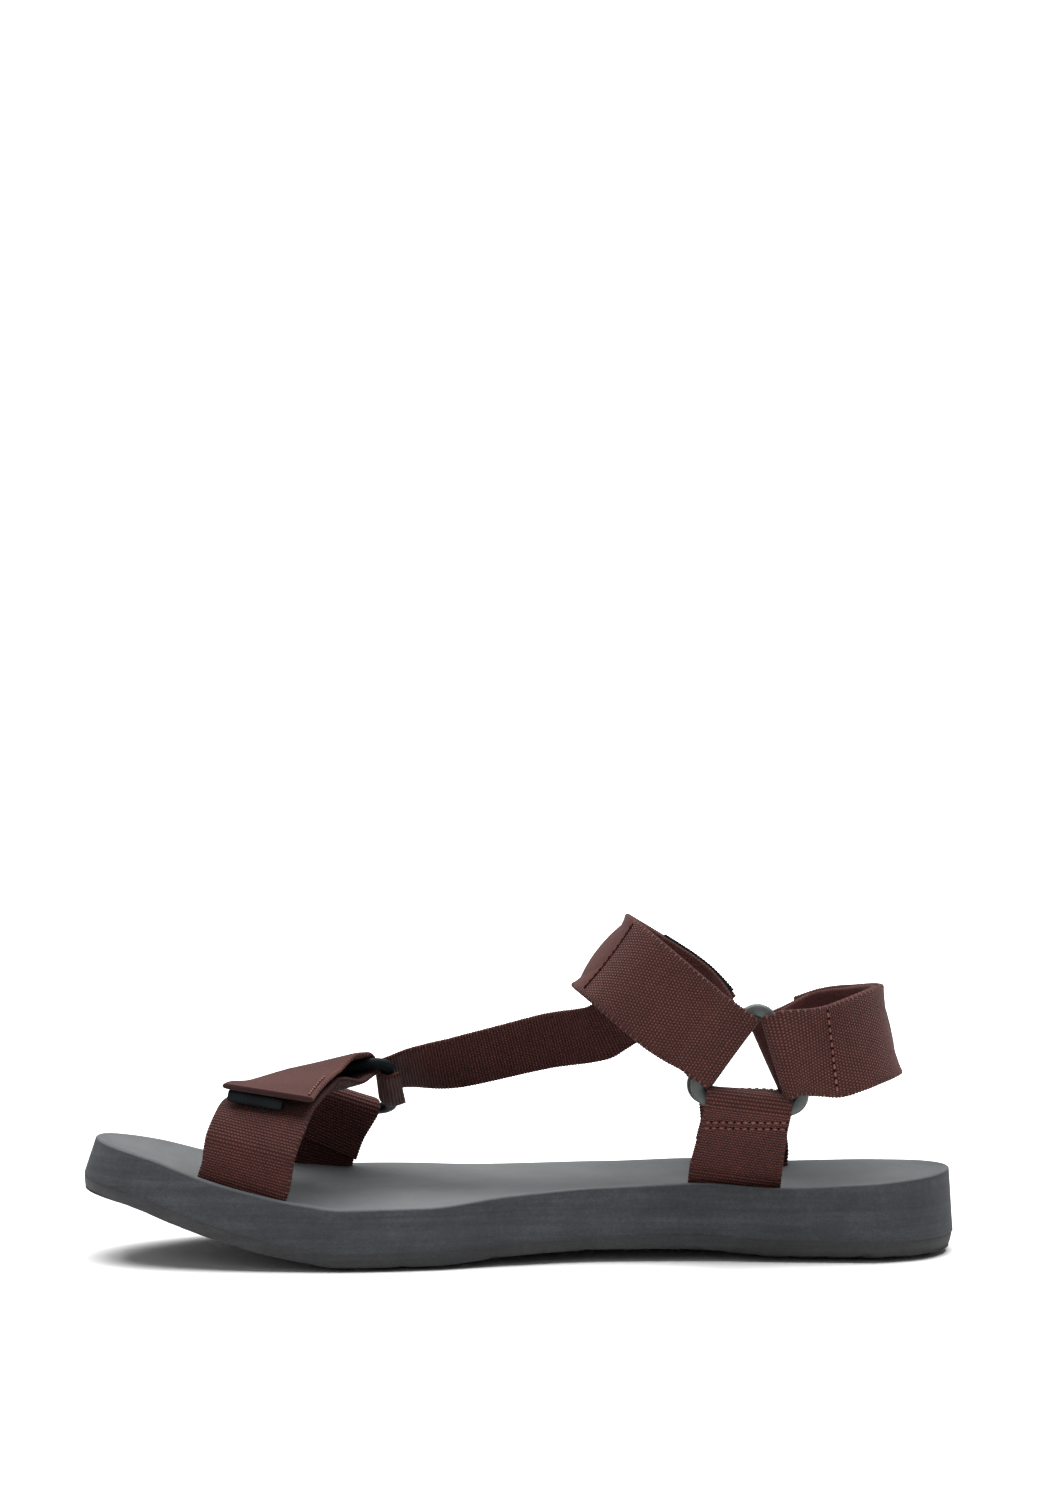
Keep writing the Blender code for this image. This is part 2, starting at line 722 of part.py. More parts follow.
def slot_cutter(name, sections, parent):
    """The room of a strap end, wider than the strap by the slot's gap on every side."""
    bottom, _, rim, _, _ = squared(sections)
    down = (bottom[0] - rim[0]).normalized()
    rings = []
    for spot, across, width, normal in (
        (bottom[0] + down * SLOT_GAP, *bottom[1:]),
        rim,
        (rim[0] - down * SLOT_DEPTH, *rim[1:]),
    ):
        half = across * (width / 2 + SLOT_GAP)
        deep = normal * (WEBBING_THICKNESS / 2 + SLOT_GAP)
        rings.append([spot - half - deep, spot + half - deep, spot + half + deep, spot - half + deep])
    cutter = add_object(name, loft(name, rings), None, parent)
    cutter.hide_render = True
    cutter.display_type = "WIRE"
    return cutter


def anchor_sections(station, side, bar):
    """Doubled webbing: out of the slot, up the outer face, round the bar and down the inner face."""
    base = slot_sections(station, side)
    fold = Fold(bar, base[-1], WEBBING_THICKNESS, RINGED_WIDTH)
    ending = [fold.lead(1, ANCHOR_LEAD_OFFSET), fold.around(QUARTER_TURN)]
    outer = smooth_sections(base + ending, ANCHOR_STEP)
    inner = cut_length(layer_over(list(reversed(outer)), fold), ANCHOR_TAIL)
    return outer[:-1] + fold.wrap(1) + inner[1:], base


def ring_strap_sections(rows, height, start_bar, end_bar, end_short):
    """An ankle strap: sewn round the outer ring, over the foot, through the inner ring, back as a flap."""
    middle = table_sections(rows, height, WEBBING_WIDTH)
    first = Fold(start_bar, middle[0], WEBBING_THICKNESS, RINGED_WIDTH)
    last = Fold(end_bar, middle[-1], WEBBING_THICKNESS, RINGED_WIDTH)
    ends = [first.around(-QUARTER_TURN), first.lead(-1)], [last.lead(-1), last.around(-QUARTER_TURN)]
    base = smooth_sections(ends[0] + middle + ends[1], SAMPLE_STEP)
    tail = cut_length(layer_over(base, first), TAIL_LENGTH)
    back = layer_over(list(reversed(base)), last, 2 * LAYER_STEP + FLAP_END_RISE)
    length = sum((b[0] - a[0]).length for a, b in zip(back, back[1:]))
    flap = cut_length(back, length - end_short)
    sections = list(reversed(tail))[:-1] + first.wrap(1) + base[1:-1] + last.wrap(-1) + flap[1:]
    return sections, base, first.side_of(base)


def toe_strap_sections(bar):
    """Forefoot webbing: slot, over the toes, through the toe ring, and back as a flap over the end bar."""
    base = slot_sections(TOE_SLOT_STATION, -1.0)
    middle = table_sections(TOE_STRAP_ROWS, TOE_STRAP_HEIGHT, WEBBING_WIDTH)
    top = table_sections(TOE_FLAP_ROWS, TOE_STRAP_HEIGHT, WEBBING_WIDTH)
    fold = Fold(bar, middle[-1], WEBBING_THICKNESS, RINGED_WIDTH)
    ending = [fold.lead(-1, TOE_LEAD_OFFSET), fold.around(-QUARTER_TURN)]
    lower = smooth_sections(base + middle + ending, SAMPLE_STEP)
    flap = smooth_sections([fold.around(QUARTER_TURN), fold.lead(1, TOE_LEAD_OFFSET)] + top, SAMPLE_STEP)
    return lower[:-1] + fold.wrap(-1) + flap[1:], base, flap


def side_strap_sections(bar, instep_base, outer_side):
    """Narrow webbing: sewn round the toe ring's rear bar, along the outer side to the instep strap."""
    middle = table_sections(SIDE_ROWS, INSTEP_HEIGHT, SIDE_STRAP_WIDTH)
    seam = squared(cut_length(instep_base, SIDE_SEAM_FROM_RING))[-1]
    clear = (WEBBING_THICKNESS + SIDE_STRAP_THICKNESS) / 2 + SIDE_SEAM_GAPS * LAYER_GAP
    inner = -outer_side * seam[3]
    spot = seam[0] + inner * clear
    run = (Vector((1, 0, 0)) - inner * inner.x).normalized()
    up = run.cross(inner)
    if up.z < 0:
        up = -up
    ahead = spot - run * SIDE_SEAM_LENGTH + inner * SIDE_SEAM_STANDOFF
    seamed = [(ahead, up, SIDE_STRAP_WIDTH), (spot, up, SIDE_STRAP_WIDTH)]
    fold = Fold(bar, middle[0], SIDE_STRAP_THICKNESS, SIDE_STRAP_WIDTH)
    main_run = smooth_sections([fold.around(QUARTER_TURN), fold.lead(1)] + middle + seamed, SAMPLE_STEP)
    tail = cut_length(layer_over(main_run, fold), SIDE_STRAP_TAIL)
    return list(reversed(tail))[:-1] + fold.wrap(-1) + main_run[1:]


def build_sole(root, slots):
    outsole = loft("outsole", tread_rings())
    add_object("outsole", outsole, "rubber", root)
    rings = [midsole_ring(station) for station in even_stations(MIDSOLE_STATIONS)]
    midsole = add_object("midsole", loft("midsole", rings), "foam", root)
    for name, sections in slots.items():
        cut = midsole.modifiers.new(name, "BOOLEAN")
        cut.operation = "DIFFERENCE"
        cut.object = slot_cutter(name, sections, root)
        cut.solver = "EXACT"


def build_ring(name, placed, slot, root):
    made = add_object(name, ring_mesh(name), slot, root)
    made.matrix_basis = Matrix.Translation(placed.to_translation() * MM) @ placed.to_3x3().to_4x4()


def build_strap(name, sections, thickness, root):
    add_object(name, strap_mesh(name, sections, thickness), "webbing", root)


def build_end_bar(flap, root):
    """The moulded bar under the free end of the toe strap's flap."""
    spot, across, _, normal = squared(flap)[-1]
    run = (spot - flap[-2][0]).normalized()
    up = normal if normal.z > 0 else -normal
    drop = WEBBING_THICKNESS / 2 + LAYER_GAP + END_BAR_HEIGHT / 2
    centre = spot - up * drop - run * END_BAR_DEPTH / 2 - across * END_BAR_SHIFT
    shape = bmesh.new()
    bmesh.ops.create_cube(shape, size=1.0)
    sizes = Matrix.Diagonal((END_BAR_LENGTH * MM, END_BAR_DEPTH * MM, END_BAR_HEIGHT * MM, 1.0))
    bmesh.ops.transform(shape, matrix=sizes, verts=shape.verts)
    mesh = bpy.data.meshes.new("toe_strap_end_bar")
    shape.to_mesh(mesh)
    shape.free()
    made = add_object("toe_strap_end_bar", mesh, "black_plastic", root)
    turned = Matrix((across, up.cross(across), up)).transposed().to_4x4()
    made.matrix_basis = Matrix.Translation(centre * MM) @ turned
    rounding = made.modifiers.new("rounding", "BEVEL")
    rounding.width = END_BAR_ROUNDING * MM
    rounding.segments = 2


def main():
    for old in list(bpy.data.objects):
        bpy.data.objects.remove(old)
    root = bpy.data.objects.new("sandal", None)
    bpy.context.scene.collection.objects.link(root)
    root.location.x = CENTRE_SHIFT * MM

    medial_ring = ankle_ring_matrix("ankle_ring_medial")
    lateral_ring = ankle_ring_matrix("ankle_ring_lateral")
    toe_ring = toe_ring_matrix()
    medial_bars = ring_bars(medial_ring, -1)
    lateral_bars = ring_bars(lateral_ring, 1)
    toe_bars = ring_bars(toe_ring, 1, ((0, 1), (2, 0), (2, 1)))
    build_ring("ankle_ring_medial", medial_ring, "grey_plastic", root)
    build_ring("ankle_ring_lateral", lateral_ring, "grey_plastic", root)
    build_ring("toe_ring", toe_ring, "black_plastic", root)

    anchors = {
        "rear_anchor_medial": (REAR_ANCHOR_STATION_MEDIAL, -1.0, medial_bars[BAR_BELOW]),
        "rear_anchor_lateral": (REAR_ANCHOR_STATION_LATERAL, 1.0, lateral_bars[BAR_BELOW]),
        "toe_anchor_lateral": (TOE_ANCHOR_STATION, 1.0, toe_bars[TOE_BAR_LATERAL]),
    }
    slots = {}
    for name, (station, side, bar) in anchors.items():
        sections, base = anchor_sections(station, side, bar)
        build_strap(name, sections, WEBBING_THICKNESS, root)
        slots[name + "_slot"] = base

    instep, instep_base, instep_side = ring_strap_sections(
        INSTEP_ROWS, INSTEP_HEIGHT, lateral_bars[BAR_FRONT], medial_bars[BAR_FRONT], INSTEP_FLAP_SHORT
    )
    build_strap("instep_strap", instep, WEBBING_THICKNESS, root)
    heel, _, _ = ring_strap_sections(
        HEEL_ROWS, HEEL_STRAP_HEIGHT, lateral_bars[BAR_BEHIND], medial_bars[BAR_BEHIND], HEEL_FLAP_SHORT
    )
    build_strap("heel_strap", heel, WEBBING_THICKNESS, root)

    toe, toe_base, flap = toe_strap_sections(toe_bars[TOE_BAR_MEDIAL])
    build_strap("toe_strap", toe, WEBBING_THICKNESS, root)
    slots["toe_strap_slot"] = toe_base
    build_end_bar(flap, root)
    side = side_strap_sections(toe_bars[TOE_BAR_REAR], instep_base, instep_side)
    build_strap("side_strap", side, SIDE_STRAP_THICKNESS, root)
    build_sole(root, slots)


main()
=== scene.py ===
# Strapped sports sandal, right foot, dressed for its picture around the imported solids.
# Sizes are in millimetres until a mesh is made. The toe points to -X, and the inner side faces -Y,
# towards the camera.

import math

import bmesh
import bpy
from mathutils import Matrix, Vector, noise


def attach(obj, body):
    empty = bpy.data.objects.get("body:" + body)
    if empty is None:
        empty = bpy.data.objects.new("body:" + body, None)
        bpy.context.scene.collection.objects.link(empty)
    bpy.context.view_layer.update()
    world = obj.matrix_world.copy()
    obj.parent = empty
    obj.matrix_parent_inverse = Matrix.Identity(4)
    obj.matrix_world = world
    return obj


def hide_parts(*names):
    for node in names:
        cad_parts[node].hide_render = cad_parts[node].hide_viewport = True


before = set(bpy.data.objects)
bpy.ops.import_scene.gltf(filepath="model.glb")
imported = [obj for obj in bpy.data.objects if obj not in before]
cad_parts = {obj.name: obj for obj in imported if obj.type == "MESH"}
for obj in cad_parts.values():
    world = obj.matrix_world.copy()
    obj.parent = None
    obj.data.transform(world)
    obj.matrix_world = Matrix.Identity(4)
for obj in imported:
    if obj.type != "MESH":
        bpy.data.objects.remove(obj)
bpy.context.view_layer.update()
print("frame loaded:", len(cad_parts), "nodes")

mm = 0.001
quarterTurn = 90
halfTurn = 180
mergeReach = 0.000004


# camera

picture = {
    "lens": 116.3,
    "sensor": 36.0,  # on the long side of the picture
    "eye": (-0.0005, -1.584, 0.243),
    "lookDown": 2.85,
}

cameraData = bpy.data.cameras.new("pictureCamera")
cameraData.lens = picture["lens"]
cameraData.sensor_width = picture["sensor"]
cameraData.dof.use_dof = False
camera = bpy.data.objects.new("pictureCamera", cameraData)
camera.location = picture["eye"]
camera.rotation_euler = (math.radians(quarterTurn - picture["lookDown"]), 0.0, 0.0)
bpy.context.scene.collection.objects.link(camera)
bpy.context.scene.camera = camera


# sizes, as in the solids apart from the glue gap, the width at the rings, the ends of the flaps, and the
# side strap's loop and turn

sole = {
    "length": 285.0,
    "width": 104.0,
    "toeSpring": 22.6,
    "heelStack": 25.5,
    "edgeLift": 2.3,
    "outsoleThickness": 4.6,
    "glueGap": 0.05,
    "wallTaper": 1.2,
    "wallBevel": 1.0,
    "heelDish": 4.0,
    "forefootDish": 1.6,
    "dishStart": 0.35,
    "dishBlend": 0.4,
    "sideSharpness": 4,
    "endSharpness": 16,
    "flatShare": 0.1,
    "tiltReach": 0.004,
    "centreShift": -0.5,
    # station from the toe, inner edge and outer edge as shares of half the width
    "outline": [
        (0.00, -0.27, -0.27),
        (0.02, -0.60, 0.12),
        (0.05, -0.75, 0.33),
        (0.10, -0.87, 0.54),
        (0.15, -0.93, 0.68),
        (0.20, -0.97, 0.79),
        (0.30, -1.00, 0.94),
        (0.40, -0.92, 1.00),
        (0.50, -0.72, 0.95),
        (0.60, -0.58, 0.85),
        (0.70, -0.56, 0.76),
        (0.80, -0.61, 0.72),
        (0.90, -0.63, 0.66),
        (0.94, -0.56, 0.57),
        (0.97, -0.44, 0.45),
        (0.99, -0.26, 0.27),
        (1.00, 0.00, 0.00),
    ],
    # station, underside, edge lift, inner wall and outer wall as shares of their sizes
    "profile": [
        (0.00, 1.02, 0.00, 0.66, 0.60),
        (0.06, 0.85, 0.10, 0.65, 0.58),
        (0.12, 0.57, 0.20, 0.66, 0.61),
        (0.18, 0.32, 0.30, 0.69, 0.72),
        (0.24, 0.12, 0.50, 0.71, 0.78),
        (0.30, 0.00, 0.60, 0.73, 0.81),
        (0.40, 0.00, 0.60, 0.735, 0.79),
        (0.50, 0.085, 0.60, 0.765, 0.73),
        (0.60, 0.12, 0.65, 0.79, 0.75),
        (0.70, 0.10, 0.90, 0.83, 0.81),
        (0.80, 0.00, 1.10, 0.85, 0.85),
        (0.90, 0.00, 1.00, 0.92, 0.90),
        (1.00, 0.00, 0.90, 1.00, 0.96),
    ],
}
tread = {"pitch": 11.0, "depth": 1.7, "wave": 4.0, "fade": 0.1}
webbing = {
    "width": 30.0,
    "thickness": 1.8,
    "sideWidth": 20.0,
    "sideThickness": 1.6,
    "layerGap": 0.4,
    "wrapGap": 0.7,
    "ringSqueeze": 2.0,
    "leadReach": 7.0,
    "leadShare": 0.9,
    "leadTwist": 0.05,
    "leastAdvance": 2.5,
    "layerReach": 9.0,
    "step": 6.0,
}
slot = {"depth": 8.0, "inset": 4.4}
ring = {
    "side": 40.5,
    "corner": 4.6,
    "barWidth": 4.4,
    "barThickness": 3.4,
    # x of half length, y of half width, height, roll, tilt
    "places": {
        "ankle_ring_medial": (0.517, -0.66, 51.7, 6.5, 4.0),
        "ankle_ring_lateral": (0.525, 0.74, 43.7, 6.5, 4.0),
    },
}
toeRing = {"x": -0.302, "y": 0.56, "share": 0.88, "slope": 33.0}
toeStrap = {
    "height": 57.0,
    "slotStation": 0.157,
    "leadOffset": 4.6,
    # x of half length, y of half width, z of the height, yaw and pitch of the width
    "rows": [
        (-0.603, -0.870, 0.68, -7.0, -12.0),
        (-0.582, -0.780, 0.82, -6.0, -8.0),
        (-0.566, -0.620, 0.895, -4.0, -3.0),
        (-0.538, -0.350, 0.935, 0.0, 3.0),
        (-0.505, 0.000, 0.940, 6.0, 6.0),
    ],
    "flapRows": [
        (-0.505, 0.000, 1.008, 6.0, 9.0),
        (-0.535, -0.350, 1.003, 0.0, 3.5),
        (-0.556, -0.600, 0.995, -4.0, -5.0),
        (-0.565, -0.760, 0.985, -6.0, -9.0),
    ],
}
ankle = {
    "tailLength": 18.0,
    "flapEndReach": 45.0,
    "flapEndRise": 5.0,
    "smoothFrom": -19.0,
    "smoothTo": 12.0,
    "smoothBlend": 0.6,
    "brushed": 0.9,
}
anchor = {"tail": 16.0, "step": 4.0, "leadOffset": 2.0}
instep = {
    "height": 98.5,
    "flapShort": 9.0,
    "rows": [
        (0.385, 0.650, 0.785, 0.0, 50.0),
        (0.285, 0.560, 0.890, 0.0, 50.0),
        (0.225, 0.360, 0.950, 0.0, 51.0),
        (0.200, 0.000, 0.985, 0.0, 52.0),
        (0.210, -0.300, 0.985, 0.0, 52.0),
        (0.258, -0.500, 0.935, 0.0, 51.0),
        (0.350, -0.595, 0.825, 0.0, 50.0),
    ],
}
heel = {
    "height": 72.5,
    "flapShort": 11.0,
    "rows": [
        (0.720, 0.600, 0.925, 0.0, 107.0),
        (0.786, 0.460, 0.955, 0.0, 105.5),
        (0.827, 0.260, 0.980, 0.0, 104.0),
        (0.840, 0.000, 0.995, 0.0, 102.5),
        (0.827, -0.260, 1.005, 0.0, 103.0),
        (0.782, -0.450, 0.985, 0.0, 104.5),
        (0.710, -0.570, 0.945, 0.0, 106.0),
    ],
}
sideStrap = {
    "tail": 3.5,
    "loopRise": 3.0,
    "loopWidth": 23.0,
    "seamFromRing": 16.0,
    "seamLength": 20.0,
    "seamStandoff": 8.0,
    "seamGaps": 2.5,
    "rows": [
        (-0.160, 0.540, 0.587, -90.0, 66.0),
        (0.070, 0.540, 0.665, -90.0, 72.0),
        (0.190, 0.445, 0.700, -90.0, 76.0),
    ],
}
anchorPlaces = {
    # station along the sole, side
    "rear_anchor_medial": (0.744, -1.0),
    "rear_anchor_lateral": (0.765, 1.0),
    "toe_anchor_lateral": (0.227, 1.0),
}
endBar = {"length": 18.0, "height": 4.0, "depth": 3.2, "shift": 4.0}

relax = {"passes": 60, "share": 0.3, "step": 0.5}

halfLength = sole["length"] / 2
halfWidth = sole["width"] / 2
layerStep = webbing["thickness"] + webbing["layerGap"]
ringedWidth = webbing["width"] - webbing["ringSqueeze"]


# slope of a column at one row, level where the column turns, so that level stretches stay level
def slopeBetween(rows, column, index):
    if index in (0, len(rows) - 1):
        index = min(index, len(rows) - 2)
        return (rows[index + 1][column] - rows[index][column]) / (rows[index + 1][0] - rows[index][0])
    before = (rows[index][column] - rows[index - 1][column]) / (rows[index][0] - rows[index - 1][0])
    after = (rows[index + 1][column] - rows[index][column]) / (rows[index + 1][0] - rows[index][0])
    if before * after <= 0:
        return 0.0
    return 2 * before * after / (before + after)


# how much two ends and their slopes count at a share of the way between them
def cubicShares(t):
    return 2 * t**3 - 3 * t**2 + 1, 3 * t**2 - 2 * t**3, t**3 - 2 * t**2 + t, t**3 - t**2


# value of a column between the rows of a table, by cubic pieces
def readRow(rows, column, place):
    last = len(rows) - 2
    index = next((i for i in range(last) if place < rows[i + 1][0]), last)
    start, end = rows[index], rows[index + 1]
    span = end[0] - start[0]
    atStart, atEnd, leaving, reaching = cubicShares((place - start[0]) / span)
    return (
        atStart * start[column]
        + atEnd * end[column]
        + leaving * span * slopeBetween(rows, column, index)
        + reaching * span * slopeBetween(rows, column, index + 1)
    )


# angle whose cosine spacing gives the outline its round ends
def turnOf(station):
    return math.acos(1 - 2 * min(max(station, 0.0), 1.0))


outlineTurns = [(turnOf(station), medial, lateral) for station, medial, lateral in sole["outline"]]


# the two edges of the sole at a station, in millimetres from the middle line
def outlineEdges(station):
    turn = turnOf(station)
    return readRow(outlineTurns, 1, turn) * halfWidth, readRow(outlineTurns, 2, turn) * halfWidth


def underside(station):
    return readRow(sole["profile"], 1, station) * sole["toeSpring"]


# slope of the sole's underside in the side view, as an angle
def undersideTilt(station):
    low, high = max(station - sole["tiltReach"], 0.0), min(station + sole["tiltReach"], 1.0)
    return math.atan2(underside(high) - underside(low), (high - low) * sole["length"])


# 0 in the middle of the sole and 1 at its rim, all the way round
def edgeShare(station, across, sharper=1):
    sides = 1 - abs(across) ** (sole["sideSharpness"] * sharper)
    ends = 1 - abs(1 - 2 * station) ** (sole["endSharpness"] * sharper)
    return 1 - sides * ends


# a point of the sole: height is square to its underside, inset is measured in from the outline
def solePoint(station, across, height, inset):
    medial, lateral = outlineEdges(station)
    room = min(inset, (lateral - medial) / 2)
    y = (medial + room) + (lateral - medial - 2 * room) * (across + 1) / 2
    x = (2 * station - 1) * (halfLength - inset)
    tilt = undersideTilt(station)
    return Vector((x - height * math.sin(tilt), y, underside(station) + height * math.cos(tilt)))


def bottomHeight(station, across):
    share = max(edgeShare(station, across) - sole["flatShare"], 0.0) / (1 - sole["flatShare"])
    return readRow(sole["profile"], 2, station) * sole["edgeLift"] * share


def rimHeight(station, across):
    medial = readRow(sole["profile"], 3, station) * sole["heelStack"]
    lateral = readRow(sole["profile"], 4, station) * sole["heelStack"]
    share = (across + 1) / 2 * (1 - abs(1 - 2 * station) ** sole["endSharpness"])
    return bottomHeight(station, 1.0) + medial + (lateral - medial) * share


def footbedHeight(station, across):
    share = ease((station - sole["dishStart"]) / sole["dishBlend"])
    dish = sole["forefootDish"] + (sole["heelDish"] - sole["forefootDish"]) * share
    return rimHeight(station, across) - dish * (1 - edgeShare(station, across))


# station of a tread line where it crosses the sole: the lines bow forward, less so near the ends
def waved(station, across):
    room = min(station, 1 - station)
    bow = tread["wave"] / sole["length"] * math.cos(across * math.pi / 2)
    return station - bow * min(room / tread["fade"], 1.0)


# one straight side of a ring: centre, direction, the way out of the ring, and the ring's outer normal
class Bar:
    def __init__(self, centre, along, out, normal):
        self.centre = centre
        self.along = along
        self.out = out
        self.normal = normal


# placement of a ring whose first bar lies along local X and whose far corner is towards local Z
def ringMatrix(firstBar, along, up):
    side = up.cross(along).normalized()
    turned = Matrix((along.normalized(), side, along.cross(side).normalized())).transposed().to_4x4()
    return Matrix.Translation(firstBar) @ turned


def ankleRingMatrix(name):
    x, y, height, roll, tilt = ring["places"][name]
    place = Vector((x * halfLength, y * halfWidth, height))
    lean = Matrix.Rotation(math.radians(math.copysign(tilt, y)), 4, "X")
    return Matrix.Translation(place) @ lean @ Matrix.Rotation(math.radians(roll), 4, "Y")


def toeRingMatrix():
    slope = math.radians(toeRing["slope"])
    height = toeRing["share"] * toeStrap["height"]
    place = Vector((toeRing["x"] * halfLength, toeRing["y"] * halfWidth, height))
    return ringMatrix(place, Vector((0, -math.cos(slope), math.sin(slope))), Vector((-1, 0, 0)))


# the three bars of a placed ring, each between two of its corners, the third being the far corner
def ringBars(placed, outer, ends=((0, 1), (0, 2), (1, 2))):
    height = ring["side"] * math.sqrt(3) / 2
    corners = [Vector((-ring["side"] / 2, 0, 0)), Vector((ring["side"] / 2, 0, 0)), Vector((0, 0, height))]
    middle = sum(corners, Vector()) / 3
    bars = []
    turned = placed.to_3x3()
    for start, end in ends:
        centre = (corners[start] + corners[end]) / 2
        ways = (corners[end] - corners[start], centre - middle, Vector((0, outer, 0)))
        bars.append(Bar(placed @ centre, *((turned @ way).normalized() for way in ways)))
    return bars


def widthWay(yaw, pitch):
    yaw, pitch = math.radians(yaw), math.radians(pitch)
    return Vector((math.cos(pitch) * math.cos(yaw), math.cos(pitch) * math.sin(yaw), math.sin(pitch)))


# sections (place, way of the width, width) of a strap from its table
def tableSections(rows, height, width):
    return [
        (Vector((x * halfLength, y * halfWidth, z * height)), widthWay(yaw, pitch), width)
        for x, y, z, yaw, pitch in rows
    ]


# more sections between the given ones, on a cubic through them by distance
def smoothSections(sections, step):
    travelled = [0.0]
    for this, following in zip(sections, sections[1:]):
        travelled.append(travelled[-1] + (following[0] - this[0]).length)
    flat = [(place, *spot, *wide, width) for place, (spot, wide, width) in zip(travelled, sections)]

    def slope(index, column):
        low, high = max(index - 1, 0), min(index + 1, len(flat) - 1)
        return (flat[high][column] - flat[low][column]) / (flat[high][0] - flat[low][0])

    made = []
    for index in range(len(flat) - 1):
        start, end = flat[index], flat[index + 1]
        span = end[0] - start[0]
        count = max(1, round(span / step))
        for part in range(count):
            atStart, atEnd, leaving, reaching = cubicShares(part / count)
            row = [
                atStart * start[c]
                + atEnd * end[c]
                + leaving * span * slope(index, c)
                + reaching * span * slope(index + 1, c)
                for c in range(1, 8)
            ]
            made.append((Vector(row[0:3]), Vector(row[3:6]), row[6]))
    made.append(sections[-1])
    return made


# sections with the width square to the strap's run, and the face's normal beside it
def squared(sections):
    made = []
    for index, (spot, wide, width) in enumerate(sections):
        before = sections[max(index - 1, 0)][0]
        after = sections[min(index + 1, len(sections) - 1)][0]
        run = (after - before).normalized()
        across = (wide - run * wide.dot(run)).normalized()
        made.append((spot, across, width, run.cross(across)))
    return made


# the same width and normal, turned to a new way across
def turnedWidth(across, width, normal):
    across = across.normalized()
    return across, width, (normal - across * normal.dot(across)).normalized()


# squared sections whose edges never run back: a sharp turn of the width is shared with the neighbours
def relaxed(rows):
    rows = list(rows)
    step = relax["step"]
    for _ in range(relax["passes"]):
        for index in range(len(rows) - 1):
            (spot, across, width, normal), (after, wide, widthAfter, normalAfter) = rows[index : index + 2]
            run = after - spot
            turn = (wide * widthAfter - across * width) / 2
            if run.length - abs(turn.dot(run.normalized())) < relax["share"] * run.length:
                mean = (across + wide) / 2
                rows[index] = (spot, *turnedWidth(across.lerp(mean, step), width, normal))
                rows[index + 1] = (after, *turnedWidth(wide.lerp(mean, step), widthAfter, normalAfter))
    return rows


# how a strap goes round a bar, which depends on the way it comes from
class Fold:
    def __init__(self, bar, target, thickness, width):
        way = target[0] - bar.centre
        self.bar = bar
        self.target = target
        self.clear = webbing["wrapGap"] + thickness / 2
        self.width = width
        self.angle = math.atan2(way.dot(bar.normal), way.dot(bar.out))
        self.out = bar.out * math.cos(self.angle) + bar.normal * math.sin(self.angle)
        self.normal = bar.normal * math.cos(self.angle) - bar.out * math.sin(self.angle)
        self.slip = way.dot(bar.along) / way.dot(self.out)

    # a section beside the bar, by its angle from the way the strap comes from
    def around(self, degrees):
        angle = self.angle + math.radians(degrees)
        flat = (ring["barWidth"] / 2 + self.clear) * math.cos(angle)
        deep = (ring["barThickness"] / 2 + self.clear) * math.sin(angle)
        return (self.bar.centre + self.bar.out * flat + self.bar.normal * deep, self.bar.along, self.width)

    # half a turn of webbing round the bar, through the ring, from one face of the ring to the other
    def wrap(self, fromSide, steps=8):
        return [self.around(fromSide * (quarterTurn + halfTurn * step / steps)) for step in range(steps + 1)]

    # a section just off the bar on the way to the next one, where the layers still lie apart
    def lead(self, side, offset=None):
        if offset is None:
            offset = (ring["barThickness"] / 2 + self.clear) * webbing["leadShare"]
        slide = self.out + self.bar.along * self.slip
        spot = self.bar.centre + slide * webbing["leadReach"] + self.normal * side * offset
        return (spot, self.bar.along.lerp(self.target[1], webbing["leadTwist"]), self.width)

    def mirrored(self, spot):
        return spot - 2 * self.normal * (spot - self.bar.centre).dot(self.normal)

    # side of the sections' own normals, 1 or -1, on which a second layer lies that goes round the bar
    def sideOf(self, sections):
        spot, _, _, normal = squared(sections)[0]
        return 1 if normal.dot(self.mirrored(spot) - spot) > 0 else -1


def ease(share):
    share = min(max(share, 0.0), 1.0)
    return share * share * (3 - 2 * share)


def runLength(sections):
    return sum((following[0] - this[0]).length for this, following in zip(sections, sections[1:]))


# a second layer of sections that start at a bar: mirrored near it, then close to the first layer
def layerOver(sections, fold, lastGap=layerStep):
    outerSide = fold.sideOf(sections)
    near = webbing["leadReach"] * math.hypot(1, fold.slip) + webbing["thickness"]
    total = runLength(sections)
    made = []
    travelled = 0.0
    opened = 0.0
    firstGap = layerStep
    widest = 0.0
    previous = sections[0][0]
    for spot, across, width, normal in squared(sections):
        run = spot - previous
        travelled += run.length
        previous = spot
        widest = max(widest, width)
        if (spot - fold.bar.centre).length < near:
            place = fold.mirrored(spot)
            firstGap = (place - spot).length
            opened = travelled
        else:
            closing = ease((travelled - opened) / webbing["layerReach"])
            ending = ease((travelled - total + ankle["flapEndReach"]) / ankle["flapEndReach"])
            gap = firstGap + (layerStep - firstGap) * closing + (lastGap - layerStep) * ending
            place = spot + normal * outerSide * gap
        if not made or (place - made[-1][0]).dot(run.normalized()) > webbing["leastAdvance"]:
            made.append((place, across, widest))
    return made


# the first stretch of the sections, up to a length
def cutLength(sections, length):
    made = [sections[0]]
    travelled = 0.0
    for this, following in zip(sections, sections[1:]):
        piece = (following[0] - this[0]).length
        if travelled + piece >= length:
            share = (length - travelled) / piece
            spot = this[0].lerp(following[0], share)
            if length - travelled < webbing["leastAdvance"] and len(made) > 1:
                made.pop()
            made.append((spot, this[1].lerp(following[1], share), following[2]))
            return made
        travelled += piece
        made.append(following)
    return made


